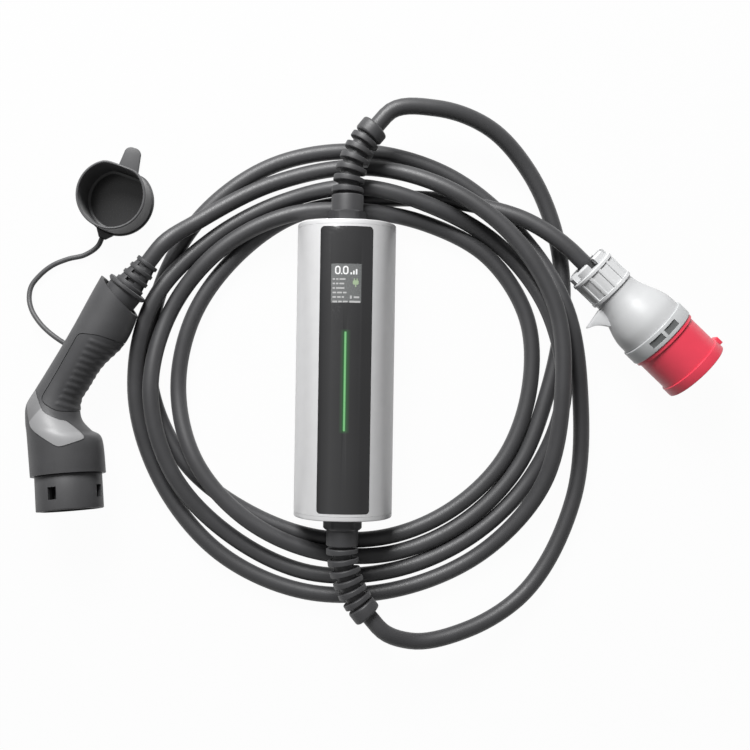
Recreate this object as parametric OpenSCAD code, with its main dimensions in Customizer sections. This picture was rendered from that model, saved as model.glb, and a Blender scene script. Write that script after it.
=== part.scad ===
// Portable charger for electric vehicles: a control box lying on its back, with two loosely coiled
// cables, one to a vehicle connector with a tethered dust cap and one to a five-pin supply plug.
// Millimetres. +Y runs along the control box and +Z out of its front panel, from the middle of its back.

/* [Control box] */
// Width of the box
box_w = 85; // [78:1:95]
// Length of the box over its end plates
box_l = 250; // [235:1:290]
// Thickness of the box, back to front
box_h = 65; // [60:1:72]
// Height of the widest line of the box above its back
belt_z = 18; // [16:1:22]
// Radius of the two back edges
back_r = 14; // [10:1:15]
// Roundness of the front, where 2 is an ellipse and more is squarer
front_power = 2.3; // [2:0.1:2.8]
// Wall of the extruded sleeve
sleeve_wall = 2.4; // [2:0.1:3]
// Thickness of each end plate
end_plate_t = 3; // [2.4:0.1:4]
// Thickness of each end gasket
gasket_t = 0.8; // [0.5:0.1:1.5]
// Radius of the end screws
screw_r = 1.5; // [1.2:0.1:1.8]

/* [Front panel] */
// Width of the panel
panel_w = 43.5; // [38:0.5:48]
// Rim of the sleeve left at each end of the panel
panel_rim = 2.4; // [2:0.1:5]
// Corner radius of the panel
panel_r = 3; // [1:0.5:6]
// Width of the display
display_w = 25; // [20:0.5:30]
// Length of the display
display_l = 32; // [26:0.5:36]
// Distance from the panel's top end to the middle of the display
display_drop = 47; // [30:0.5:60]
// Width of the light bar
light_w = 2.4; // [1.6:0.1:4]
// Length of the light bar
light_l = 82; // [60:1:90]
// Distance from the middle of the display to the middle of the light bar
light_drop = 81; // [75:0.5:95]

/* [Cable glands] */
// Height of the cable exits above the back
gland_z = 42; // [40:1:44]
// Width across the flats of the gland nuts
gland_nut_w = 30; // [28:0.5:32]
// Length of the gland nuts
gland_nut_l = 9; // [7:0.5:11]
// Diameter of the plain sleeve of each strain relief
relief_d = 27; // [24:0.5:28]
// Length of that plain sleeve
relief_sleeve_l = 14; // [10:0.5:18]
// Number of ribs on each strain relief
relief_ribs = 6; // [5:1:7]
// Radius of the bend of the strain relief
relief_bend_r = 86; // [78:1:94]
// Angle of that bend
relief_bend = 43; // [38:1:46]

/* [Cables] */
// Diameter of both cables
cable_d = 14; // [12:0.5:14]
// Diameter of the dust cap's strap
strap_d = 4.4; // [3:0.2:5]

/* [Vehicle connector] */
// Diameter of the connector's front body
connector_d = 63; // [61:0.5:66]
// Width of the grip at its waist
grip_w = 38; // [34:0.5:42]
// Width of the handle at its cable end
handle_end_w = 46; // [43:0.5:50]
// Diameter of the nose
nose_d = 56.5; // [54:0.5:58]
// Length of the nose
nose_l = 30; // [26:1:36]
// Angle by which the nose and the front of the body point up from the ground
nose_pitch = 8; // [0:1:12]
// Wall of the nose
nose_wall = 3; // [2.4:0.1:3.6]
// Length by which the contact towers stay behind the rim of the nose
tower_recess = 8; // [7:0.5:10]
// Bore of a power contact
contact_bore = 6; // [5.6:0.1:6.2]
// Diameter of the boot's flange
boot_flange_d = 36; // [34:0.5:40]
// Length of the boot behind its flange
boot_l = 27; // [24:1:34]

/* [Dust cap] */
// Depth of the cap over its base
cap_h = 36; // [30:1:40]
// Wall of the cap
cap_wall = 1.6; // [1.2:0.1:2]
// Width by which the base stands out past the wall
cap_flange = 1.6; // [1:0.1:3]

/* [Supply plug] */
// Diameter of the red shroud
shroud_d = 57; // [54:0.5:58]
// Length of the red shroud
shroud_l = 41; // [38:1:46]
// Wall of the shroud
shroud_wall = 2.8; // [2.2:0.1:3.4]
// Diameter of the locking ring
ring_d = 62; // [60:0.5:66]
// Length of the locking ring
ring_l = 12.5; // [10:0.5:14]
// Length of the grey body
plug_body_l = 46; // [42:1:54]
// Diameter of the body at its cable end
plug_waist_d = 38; // [34:0.5:40]
// Diameter of the ribbed nut
nut_d = 41.5; // [39:0.5:44]
// Length of the ribbed nut
nut_l = 26; // [22:1:30]
// Length of the clamping claws past the nut
claw_l = 7; // [5:0.5:9]
// Length of the plug's pins
pin_l = 30; // [26:1:32]

/* [Hidden] */
$fn = 48;

// Clearances: parts that slot into one another, and parts that lie next to each other
fit_gap = 0.1;
seat_gap = 0.2;
// A little more than nothing, by which a cut runs past the face that it opens
over = 1;

// Control box
sleeve_l = box_l - 2 * (end_plate_t + gasket_t);
panel_l = sleeve_l - 2 * panel_rim;
panel_lip = 3;
panel_lip_t = 1.6;
display_y = panel_l / 2 - display_drop;
light_y = display_y - light_drop;
end_y = box_l / 2;

// Circuit board and what stands on it
rail_z = 13;
rail_t = 2.5;
rail_w = 6;
board_t = 1.6;
board_w = box_w - 2 * sleeve_wall - 3;
board_l = sleeve_l - 16;
board_top = rail_z + board_t;

// Screw ports in the corners of the sleeve, on the +X side, as X and Z
port_r = 3.4;
port_side = 6;
port_drop = 17;
port_beside_panel = 7;
ports = [
    [box_w / 2 - sleeve_wall - port_side, rail_z - port_r - seat_gap],
    [panel_w / 2 + port_beside_panel, box_h - port_drop]];
screw_head_r = 2.8;
screw_head_t = 2;
screw_l = 14;
screw_recess_w = 3.4;
screw_recess_t = 0.75;

// Section of the box, brought in by an inset
function box_outline(inset) =
    let (w = box_w / 2 - inset, r = back_r - inset, rise = box_h - inset - belt_z, p = 2 / front_power)
    concat(
        [for (a = [-90:15:0]) [w - r + r * cos(a), back_r + r * sin(a)]],
        [for (t = [0:4:180]) [w * sign(cos(t)) * pow(abs(cos(t)), p), belt_z + rise * pow(abs(sin(t)), p)]],
        [for (a = [180:15:270]) [r - w + r * cos(a), back_r + r * sin(a)]]);

// A skin through rings of as many points each, closed at both ends
module skin(rings) {
    n = len(rings[0]);
    last = len(rings) - 1;
    points = [for (ring = rings, p = ring) p];
    sides = [for (i = [0:last - 1], j = [0:n - 1])
        let (a = i * n + j, b = i * n + (j + 1) % n)
        each [[a, a + n, b + n], [a, b + n, b]]];
    first_cap = [for (j = [0:n - 1]) j];
    last_cap = [for (j = [n - 1:-1:0]) last * n + j];
    polyhedron(points, concat([first_cap], sides, [last_cap]), convexity = 10);
}

function unit(v) = v / norm(v);

// Rings round a route's own points, square to the route
function tube_rings(route, d, sides) =
    [for (i = [0:len(route) - 1])
        let (before = route[max(i - 1, 0)], after = route[min(i + 1, len(route) - 1)],
            t = unit(after - before), side = unit(cross([0, 0, 1], t)), up = cross(t, side))
        [for (j = [0:sides - 1])
            let (a = 360 * j / sides)
            route[i] + d / 2 * (cos(a) * side + sin(a) * up)]];

// A point of a curve that runs smoothly through a list of vectors
function smooth_at(list, s) =
    let (last = len(list) - 1, i = min(floor(s), last - 1), u = s - i,
        p0 = list[max(i - 1, 0)], p1 = list[i], p2 = list[i + 1], p3 = list[min(i + 2, last)])
    p1 + u / 2 * (p2 - p0 + u * (2 * p0 - 5 * p1 + 4 * p2 - p3 + u * (3 * (p1 - p2) + p3 - p0)));

module along_y(l) rotate([90, 0, 0]) linear_extrude(l, center = true, convexity = 6) children();

module box_section(inset) polygon(box_outline(inset));

module rounded_plate(w, l, r) {
    square([w - 2 * r, l], center = true);
    square([w, l - 2 * r], center = true);
    for (x = [-1, 1], y = [-1, 1]) translate([x * (w / 2 - r), y * (l / 2 - r)]) circle(r);
}

// The part of the box's front wall between two insets and above a plan shape
module front_wall(from, to, l) {
    intersection() {
        difference() {
            along_y(l) box_section(from);
            along_y(l + 2 * over) box_section(to);
        }
        translate([0, 0, box_h / 2]) linear_extrude(box_h) children();
    }
}

module at_ports() for (x = [-1, 1], p = ports) translate([x * p[0], 0, p[1]]) children();

module housing_sleeve() {
    color("silver") difference() {
        union() {
            difference() {
                along_y(sleeve_l) box_section(0);
                along_y(sleeve_l + 2 * over) box_section(sleeve_wall);
            }
            intersection() {
                along_y(sleeve_l) box_section(sleeve_wall / 2);
                union() {
                    at_ports() rotate([90, 0, 0]) cylinder(r = port_r, h = sleeve_l, center = true);
                    for (x = [-1, 1]) {
                        translate([x * (box_w - rail_w) / 2, 0, rail_z - rail_t / 2])
                            cube([rail_w + 2 * sleeve_wall, sleeve_l, rail_t], center = true);
                        translate([x * (ports[1][0] + (port_r + sleeve_wall) / 2), 0, ports[1][1]])
                            cube([port_r + 2 * sleeve_wall, sleeve_l, sleeve_wall], center = true);
                    }
                }
            }
        }
        at_ports() rotate([90, 0, 0]) cylinder(r = screw_r + fit_gap, h = sleeve_l + over, center = true);
        translate([0, 0, box_h / 2]) linear_extrude(box_h)
            rounded_plate(panel_w + 2 * fit_gap, panel_l + 2 * fit_gap, panel_r + fit_gap);
    }
}

module front_panel() {
    color([0.1, 0.1, 0.11]) difference() {
        union() {
            front_wall(0, sleeve_wall, sleeve_l) rounded_plate(panel_w, panel_l, panel_r);
            front_wall(sleeve_wall, sleeve_wall + panel_lip_t, sleeve_l)
                square([panel_w + 2 * panel_lip, panel_l], center = true);
        }
        translate([0, display_y, box_h / 2])
            linear_extrude(box_h) square([display_w + 2 * fit_gap, display_l + 2 * fit_gap], center = true);
        translate([0, light_y, box_h / 2])
            linear_extrude(box_h) rounded_plate(light_w + 2 * fit_gap, light_l + 2 * fit_gap, light_w / 2);
    }
}

module display() {
    color([0.42, 0.44, 0.44]) front_wall(fit_gap, sleeve_wall + panel_lip_t, sleeve_l)
        translate([0, display_y]) square([display_w, display_l], center = true);
}

module light_guide() {
    color([0.3, 0.75, 0.35]) front_wall(fit_gap, sleeve_wall + panel_lip_t, sleeve_l)
        translate([0, light_y]) rounded_plate(light_w, light_l, light_w / 2 - fit_gap);
}

module end_plate(side) {
    mid = side * (end_y - end_plate_t / 2);
    color("silver") difference() {
        translate([0, mid, 0]) along_y(end_plate_t) box_section(0);
        translate([0, mid, 0]) at_ports() rotate([90, 0, 0]) {
            cylinder(r = screw_r + fit_gap, h = end_plate_t + over, center = true);
            translate([0, 0, -side * (end_plate_t / 2 - screw_head_t / 2 + over / 2)])
                cylinder(r = screw_head_r + fit_gap, h = screw_head_t + over, center = true);
        }
        translate([0, mid, gland_z]) rotate([90, 0, 0])
            cylinder(d = relief_d + 2 * fit_gap, h = end_plate_t + over, center = true);
    }
}

module top_end_plate() end_plate(1);
module bottom_end_plate() end_plate(-1);

module end_gaskets() {
    color([0.12, 0.12, 0.12]) for (side = [-1, 1])
        translate([0, side * (sleeve_l + gasket_t) / 2, 0]) difference() {
            along_y(gasket_t) box_section(sleeve_wall / 4);
            along_y(gasket_t + over) box_section(sleeve_wall);
        }
}

module end_screws() {
    color([0.55, 0.55, 0.57]) for (side = [-1, 1])
        translate([0, side * (end_y - end_plate_t + screw_head_t / 2), 0])
            at_ports() rotate([side * -90, 0, 0]) end_screw();
}

// A screw with a cross recess, its head towards +Z and its seat half a head below the origin
module end_screw() {
    seat = -screw_head_t / 2 + end_plate_t - screw_head_t;
    difference() {
        union() {
            translate([0, 0, seat]) cylinder(r = screw_head_r, h = screw_head_t);
            translate([0, 0, seat - screw_l]) cylinder(r = screw_r, h = screw_l);
        }
        for (a = [0, 90]) rotate([0, 0, a]) translate([0, 0, seat + screw_head_t])
            cube([screw_recess_w, screw_recess_t, screw_head_t], center = true);
    }
}

module main_board() {
    color([0.08, 0.32, 0.18]) translate([0, 0, rail_z + board_t / 2])
        cube([board_w, board_l, board_t], center = true);
}

// Places a child on the board, with its base at the origin
module on_board(place) translate([place[0], place[1], board_top]) children();

relay = [29, 13, 16];
relay_at = [-16, 20];
relay_pitch = 17;
relay_count = 4;
module relays() {
    color([0.15, 0.2, 0.35]) for (row = [0:relay_count - 1])
        on_board(relay_at + [0, (row - (relay_count - 1) / 2) * relay_pitch])
            translate([0, 0, relay[2] / 2]) cube(relay, center = true);
}

sensor_at = [-16, -38];
sensor_r = 13;
sensor_hole_r = 7.5;
sensor_h = 12;
module current_sensor() {
    color([0.1, 0.1, 0.12]) on_board(sensor_at) difference() {
        cylinder(r = sensor_r, h = sensor_h);
        translate([0, 0, -over]) cylinder(r = sensor_hole_r, h = sensor_h + 2 * over);
    }
}

terminal = [52, 13, 15];
terminal_inset = 12;
terminal_ways = 5;
terminal_hole_r = 2;
terminal_hole_l = 4;
module terminal_blocks() {
    color([0.2, 0.45, 0.25]) for (side = [-1, 1]) on_board([0, side * (board_l / 2 - terminal_inset)])
        difference() {
            translate([0, 0, terminal[2] / 2]) cube(terminal, center = true);
            for (way = [0:terminal_ways - 1])
                translate([(way - (terminal_ways - 1) / 2) * terminal[0] / terminal_ways, 0, 0])
                    translate([0, 0, terminal[2] - terminal_hole_l])
                        cylinder(r = terminal_hole_r, h = terminal_hole_l + over);
        }
}

module_size = [26, 48, 20];
module_at = [20, 10];
module power_module() {
    color([0.12, 0.12, 0.14]) on_board(module_at) translate([0, 0, module_size[2] / 2])
        cube(module_size, center = true);
}

// Strain reliefs: the bend starts past the gland nut and the plain sleeve, and turns towards +X
relief_start = end_y + gland_nut_l + relief_sleeve_l;
relief_core_r = 8.6;
relief_end_d = 25;
rib_t = 4.6;
rib_round = 1.4;
collar_t = 11;
// Corners of the gland nuts are turned down to this share of their width
gland_corner = 1.09;

// Places a child at an angle along the bend, with +Y along the cable
module on_bend(side, angle) {
    translate([relief_bend_r, side * relief_start, gland_z]) rotate([0, 0, -side * angle])
        translate([-relief_bend_r, 0, 0]) children();
}

// A disc with rounded rims, on the Y axis
module rounded_disc(r, t, rim) {
    rotate([90, 0, 0]) rotate_extrude() {
        translate([0, -t / 2]) square([r - rim, t]);
        translate([r - rim, rim - t / 2]) square([rim, t - 2 * rim]);
        for (y = [-1, 1]) translate([r - rim, y * (t / 2 - rim)]) circle(rim, $fn = 24);
    }
}

module gland_nut(side) {
    y = side * (end_y + gland_nut_l / 2);
    color([0.17, 0.17, 0.18]) translate([0, y, gland_z]) rotate([90, 0, 0]) difference() {
        intersection() {
            cylinder(d = gland_nut_w / cos(30), h = gland_nut_l, center = true, $fn = 6);
            cylinder(d = gland_nut_w * gland_corner, h = gland_nut_l, center = true);
        }
        cylinder(d = relief_d + 2 * fit_gap, h = gland_nut_l + over, center = true);
    }
}

module top_gland_nut() gland_nut(1);
module bottom_gland_nut() gland_nut(-1);

module strain_relief(side) {
    inside_l = end_plate_t + gland_nut_l + relief_sleeve_l;
    collar_angle = collar_t / relief_bend_r * 180 / PI;
    pitch = (relief_bend - collar_angle) / relief_ribs;
    root_angle = 2;
    color([0.16, 0.16, 0.17]) {
        translate([0, side * (relief_start - inside_l / 2), gland_z]) rotate([90, 0, 0])
            cylinder(d = relief_d, h = inside_l, center = true);
        translate([relief_bend_r, side * relief_start, gland_z])
            rotate([0, 0, side > 0 ? 180 - relief_bend : 180 - root_angle])
                rotate_extrude(angle = relief_bend + root_angle)
                    translate([relief_bend_r, 0]) circle(relief_core_r);
        for (i = [0:relief_ribs - 1])
            on_bend(side, (i + 0.5) * pitch)
                rounded_disc((relief_d + (relief_end_d - relief_d) * i / relief_ribs) / 2, rib_t, rib_round);
        on_bend(side, relief_bend - collar_angle / 2)
            rounded_disc(relief_end_d / 2, collar_t, rib_round * 2);
    }
}

module top_strain_relief() strain_relief(1);
module bottom_strain_relief() strain_relief(-1);

// Vehicle connector: it lies on its side, its nose turned by a heading from +X
connector_at = [-235.2, -93, connector_d / 2];
nose_heading = -84;

// Stations of the connector's body from the cable end to the nose:
// middle in plan, direction across, half width, half height, and how far it leans back
stations = [
    [41.5, 153.5, -49, handle_end_w / 2, 21.5, 0],
    [27, 124.5, -31, handle_end_w / 2 - 0.5, 21, 0],
    [10, 101, -25, grip_w / 2, 19.5, 0],
    [-2, 81, -19, grip_w / 2, 19.5, 0],
    [-9.5, 68, -15, grip_w / 2 + 0.5, 21, 0],
    [-13, 54, -14, connector_d / 2 - 8, connector_d / 2 - 7, 0],
    [-9, 42, -8, connector_d / 2 - 4, connector_d / 2 - 3, 0],
    [-3.5, 32, -2, connector_d / 2 - 0.3, connector_d / 2 - 0.3, 0],
    [0, 0, 90 + nose_heading, connector_d / 2, connector_d / 2, nose_pitch]];
station_steps = 3;
body_sides = 28;

function station_ring(s, grow) =
    [for (j = [0:body_sides - 1])
        let (a = 360 * j / body_sides, across = (s[3] + grow) * cos(a),
            up = (s[4] + grow) * sin(a) * cos(s[5]), back = (s[4] + grow) * sin(a) * sin(s[5]))
        [s[0] + across * cos(s[2]) - back * sin(s[2]), s[1] + across * sin(s[2]) + back * cos(s[2]), up]];

module body_form(grow) {
    last = (len(stations) - 1) * station_steps;
    skin([for (i = [0:last]) station_ring(smooth_at(stations, i / station_steps), grow)]);
}

module at_connector() translate(connector_at) children();

// Puts a child's +X along the nose, from its base
module at_nose() at_connector() rotate([0, -nose_pitch, nose_heading]) children();

// Plan shapes of the two side accents and of the grip's soft inlay
accent_plan = [[-26, 74], [-15, 54], [-2, 48], [2.5, 47.5], [20, 33], [3.5, 27], [-1, 26.3],
    [-22, 38], [-26.5, 42], [-32.5, 61]];
grip_plan = [[11.5, 120.5], [28, 119], [60, 108], [60, 62], [14, 55], [-4.5, 55.5], [-15, 61.5], [-18, 66]];
inlay_depth = 1.6;
accent_proud = 0.6;
// The grip's cross ribs start on a line from one place to another, each with a direction across
grip_ribs = 11;
grip_rib_from = [21, 115, -28];
grip_rib_to = [-5, 62, -14];
grip_rib_proud = 0.5;
grip_rib_t = 2.4;
anchor_d = 8;
anchor_at = [-7.5, 112.5, -12];
anchor_heading = 148;
anchor_l = 12;

// The handle's cable end is a rim round a recess, from which the boot's stem stands out
end_rim_t = 3;
end_recess_share = 0.2;
module end_recess() {
    rim = station_ring(stations[0], -end_rim_t);
    inwards = [sin(stations[0][2]), -cos(stations[0][2]), 0];
    floor_ring = station_ring(smooth_at(stations, end_recess_share), -end_rim_t);
    skin([[for (p = rim) p - over * inwards], rim, floor_ring]);
}

module connector_body() {
    color([0.28, 0.28, 0.29]) at_connector() {
        difference() {
            body_form(0);
            end_recess();
            difference() {
                linear_extrude(2 * connector_d, center = true) offset(delta = seat_gap) polygon(accent_plan);
                body_form(-inlay_depth);
            }
            difference() {
                linear_extrude(2 * connector_d, center = true) offset(delta = seat_gap) polygon(grip_plan);
                body_form(-inlay_depth);
            }
        }
        translate(anchor_at) rotate([0, 0, anchor_heading]) rotate([0, 90, 0])
            translate([0, 0, -anchor_l]) cylinder(d = anchor_d, h = anchor_l);
    }
}

module connector_accents() {
    color([0.74, 0.74, 0.75]) at_connector() difference() {
        intersection() {
            body_form(accent_proud);
            linear_extrude(2 * connector_d, center = true) polygon(accent_plan);
        }
        body_form(seat_gap - inlay_depth);
    }
}

module connector_grip() {
    color([0.2, 0.2, 0.21]) at_connector() difference() {
        intersection() {
            union() {
                body_form(0);
                intersection() {
                    body_form(grip_rib_proud);
                    for (i = [0:grip_ribs - 1])
                        let (rib = grip_rib_from + (grip_rib_to - grip_rib_from) * i / (grip_ribs - 1))
                            translate([rib[0], rib[1], 0]) rotate([0, 0, rib[2]])
                                translate([grip_w / 2, 0, 0])
                                    cube([grip_w, grip_rib_t, 2 * connector_d], center = true);
                }
            }
            linear_extrude(2 * connector_d, center = true) polygon(grip_plan);
        }
        body_form(seat_gap - inlay_depth);
    }
}

// The nose is a round collar with one flattened side, open to the contacts
nose_flat = 2.5;
collar_base_t = 4;
window = [10.5, 7.6];
window_back = 9;
window_turns = [104, 14, -76];
module nose_tube(d, from, to) {
    intersection() {
        translate([from, 0, 0]) rotate([0, 90, 0]) cylinder(d = d, h = to - from);
        translate([from, nose_flat - d / 2, -d]) cube([to - from, d, 2 * d]);
    }
}

module connector_nose() {
    color([0.25, 0.25, 0.26]) at_nose() difference() {
        nose_tube(nose_d, 0, nose_l);
        nose_tube(nose_d - 2 * nose_wall, collar_base_t, nose_l + over);
        for (a = window_turns) rotate([a, 0, 0])
            translate([nose_l - window_back - window[0], -window[1] / 2, nose_d / 4])
                cube([window[0], window[1], nose_d / 2]);
    }
}

// Contacts: two signal contacts in a short row, then three and two power contacts, as Y and Z
tower_d = 12;
signal_tower_d = 9;
signal_bore = 3;
contact_wall = 0.8;
power_places = [[-1.5, -16], [-1.5, 0], [-1.5, 16], [12.5, -8.4], [12.5, 8.4]];
signal_places = [[-13.5, -8], [-13.5, 8]];
tower_l = nose_l - collar_base_t - tower_recess;
contact_l = tower_l - 2;

module at_contacts(places) {
    for (p = places) translate([collar_base_t, p[0], p[1]]) rotate([0, 90, 0]) children();
}

module contact_tower(d, bore) {
    difference() {
        cylinder(d = d, h = tower_l);
        translate([0, 0, over]) cylinder(d = bore + 2 * contact_wall, h = tower_l);
    }
}

module contact_carrier() {
    color([0.13, 0.13, 0.14]) at_nose() {
        at_contacts(power_places) contact_tower(tower_d, contact_bore);
        at_contacts(signal_places) contact_tower(signal_tower_d, signal_bore);
    }
}

module contact_sleeve(bore) {
    translate([0, 0, over]) difference() {
        cylinder(d = bore + 2 * contact_wall, h = contact_l);
        translate([0, 0, over]) cylinder(d = bore, h = contact_l);
    }
}

module contacts() {
    color([0.72, 0.66, 0.5]) at_nose() {
        at_contacts(power_places) contact_sleeve(contact_bore);
        at_contacts(signal_places) contact_sleeve(signal_bore);
    }
}

// Boot: it stands on a flange that closes the handle's cable end
boot_at = [46.5, 158.7, 0];
boot_heading = 52;
boot_flange_t = 4;
boot_flange_ease = 1;
boot_stem_d = 31;
boot_stem_l = 22;
boot_base_d = 26;
boot_tip_d = 20;
boot_rings = 3;
boot_ring_t = 3.4;
boot_ring_proud = 1.2;
boot_slot = [3.2, 8];
boot_slot_r = 7.4;
boot_slot_turns = [0, 90, 180, 270];

module at_boot() at_connector() translate(boot_at) rotate([0, 0, boot_heading]) rotate([0, 90, 0]) children();

module boot_flange() {
    color([0.2, 0.2, 0.21]) difference() {
        at_boot() {
            cylinder(d1 = boot_flange_d - 2 * boot_flange_ease, d2 = boot_flange_d, h = boot_flange_t / 2);
            translate([0, 0, boot_flange_t / 2]) cylinder(d = boot_flange_d, h = boot_flange_t / 2);
            translate([0, 0, -boot_stem_l]) cylinder(d = boot_stem_d, h = boot_stem_l + over);
        }
        at_connector() difference() {
            body_form(0);
            end_recess();
        }
    }
}

module cable_boot() {
    step = (boot_l - boot_ring_t) / boot_rings;
    narrowing = (boot_base_d - boot_tip_d) / boot_rings;
    color([0.17, 0.17, 0.18]) at_boot() translate([0, 0, boot_flange_t]) difference() {
        union() {
            cylinder(d1 = boot_base_d - 2 * boot_ring_proud, d2 = boot_tip_d - 2 * boot_ring_proud,
                h = boot_l);
            for (i = [0:boot_rings])
                translate([0, 0, i * step]) cylinder(d = boot_base_d - i * narrowing, h = boot_ring_t);
        }
        for (i = [0:boot_rings - 1], a = boot_slot_turns)
            rotate([0, 0, a]) translate([boot_slot_r, -boot_slot[1] / 2, (i + 0.5) * step + boot_ring_t / 2])
                translate([0, 0, -boot_slot[0] / 2]) cube([boot_base_d, boot_slot[1], boot_slot[0]]);
    }
}

// Dust cap: a soft cup, mouth up, on a base with a pull tab and a web for its strap
cap_at = [-202, 147];
cap_flat_heading = 71;
cap_flat = 3;
cap_base_t = 3;
// The cap's bore is smaller than the nose by this much on each side, so that it grips the nose
cap_stretch = 0.6;
cap_bore_d = nose_d - 2 * cap_stretch;
cap_d = cap_bore_d + 2 * cap_wall;
cap_base_d = cap_d + 2 * cap_flange;
cap_lip = [2.4, 0.6];
tab_heading = 75;
tab_reach = 49;
tab_root_w = 20;
tab_tip_w = 15;
tab_tip_r = 6;
tab_root = 24;
lug_heading = 246;
lug_l = 5.5;
lug_root_w = 20;
lug_tip_w = 6;

module cap_plan(d) {
    intersection() {
        circle(d = d);
        translate([-d, -d / 2]) square([1.5 * d - cap_flat, d]);
    }
}

module tab_plan() {
    polygon([[tab_root, -tab_root_w / 2], [tab_reach - tab_tip_r, -tab_tip_w / 2],
        [tab_reach - tab_tip_r, tab_tip_w / 2], [tab_root, tab_root_w / 2]]);
    translate([tab_reach - tab_tip_r - over, tab_tip_r - tab_tip_w / 2])
        square([tab_tip_r + over, tab_tip_w - 2 * tab_tip_r]);
    for (y = [-1, 1]) translate([tab_reach - tab_tip_r, y * (tab_tip_w / 2 - tab_tip_r)]) circle(tab_tip_r);
}

module dust_cap() {
    color([0.24, 0.24, 0.25]) translate(cap_at) {
        rotate([0, 0, cap_flat_heading]) difference() {
            union() {
                linear_extrude(cap_base_t) cap_plan(cap_base_d);
                linear_extrude(cap_h) cap_plan(cap_d);
                translate([0, 0, cap_h - cap_lip[0]])
                    linear_extrude(cap_lip[0]) cap_plan(cap_d + 2 * cap_lip[1]);
            }
            translate([0, 0, cap_base_t]) linear_extrude(cap_h) cap_plan(cap_bore_d);
        }
        linear_extrude(cap_base_t) {
            rotate([0, 0, tab_heading]) tab_plan();
            rotate([0, 0, lug_heading]) polygon([
                [cap_d / 2 - cap_wall, -lug_root_w / 2], [cap_base_d / 2 + lug_l, -lug_tip_w / 2],
                [cap_base_d / 2 + lug_l, lug_tip_w / 2], [cap_d / 2 - cap_wall, lug_root_w / 2]]);
        }
    }
}

// Supply plug: turned parts on one axis, from the cable end to the mouth
plug_at = [203.9, 94.6, ring_d / 2];
plug_heading = -43.1;
nut_from = claw_l;
body_from = nut_from + nut_l;
ring_from = body_from + plug_body_l;
shroud_from = ring_from + ring_l;

// Puts a child's +Z along the plug, from a station
module at_plug(station) translate(plug_at) rotate([0, 0, plug_heading]) rotate([0, 90, 0])
    translate([0, 0, station]) children();

shroud_flange_t = 3;
shroud_floor_t = 4;
rim_band = [9, 1.2];
key = [7, 11, 4];
module plug_shroud() {
    color([0.8, 0.16, 0.2]) at_plug(shroud_from) difference() {
        union() {
            cylinder(d = shroud_d, h = shroud_l);
            cylinder(d = ring_d - 2, h = shroud_flange_t);
            translate([0, 0, shroud_l - rim_band[0]])
                cylinder(r = shroud_d / 2 + rim_band[1], h = rim_band[0]);
            rotate([0, 0, 90]) translate([shroud_d / 2 - over, -key[1] / 2, shroud_l - rim_band[0]])
                cube([key[2] + over, key[1], key[0]]);
        }
        translate([0, 0, shroud_floor_t]) cylinder(d = shroud_d - 2 * shroud_wall, h = shroud_l);
    }
}

// Five pins on a circle, the earth pin thicker than the rest
pin_circle_r = 17;
pin_r = 2.5;
earth_pin_r = 3;
carrier_t = 5;
pin_step = 72;
module at_pins() for (i = [0:4]) rotate([0, 0, 90 + i * pin_step]) translate([pin_circle_r, 0, 0])
    let ($earth = i == 0) children();

module pin_shape(extra) cylinder(r = ($earth ? earth_pin_r : pin_r) + extra, h = pin_l);

module plug_pins() {
    color([0.78, 0.72, 0.52]) at_plug(shroud_from + shroud_floor_t) at_pins() pin_shape(0);
}

module pin_carrier() {
    color([0.16, 0.16, 0.17]) at_plug(shroud_from + shroud_floor_t) difference() {
        cylinder(d = shroud_d - 2 * shroud_wall - 2 * fit_gap, h = carrier_t);
        at_pins() translate([0, 0, -over]) pin_shape(fit_gap);
    }
}

ring_window = [13.5, 6];
ring_window_depth = 1.5;
ring_window_turns = [170.5, 201];
module locking_ring() {
    color([0.72, 0.73, 0.74]) at_plug(ring_from) difference() {
        cylinder(d = ring_d, h = ring_l);
        for (a = ring_window_turns) rotate([0, 0, a]) translate([ring_d / 2, 0, ring_l / 2])
            cube([2 * ring_window_depth, ring_window[0], ring_window[1]], center = true);
    }
}

// The body swells from its waist to the ring, at these shares of its length and of the swelling
body_swell = [[0, 0], [0.16, 0.08], [0.32, 0.29], [0.48, 0.57], [0.64, 0.82], [0.8, 0.97], [1, 1]];
ring_step = 1.5;
fin_t = 9;
fin = [[3, 18], [4.5, 27], [6.5, 39.5], [10, 32], [14, 27.5], [19, 24.5], [24, 21], [20, 18]];
module plug_body() {
    swelling = (ring_d - plug_waist_d) / 2 - ring_step;
    color([0.8, 0.81, 0.82]) at_plug(body_from) {
        rotate_extrude() polygon([[0, 0],
            for (p = body_swell) [plug_waist_d / 2 + p[1] * swelling, p[0] * plug_body_l],
            [0, plug_body_l]]);
        rotate([0, 0, -90]) translate([0, fin_t / 2, 0]) rotate([90, 0, 0])
            linear_extrude(fin_t) polygon([for (p = fin) [p[1], p[0]]]);
    }
}

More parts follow.
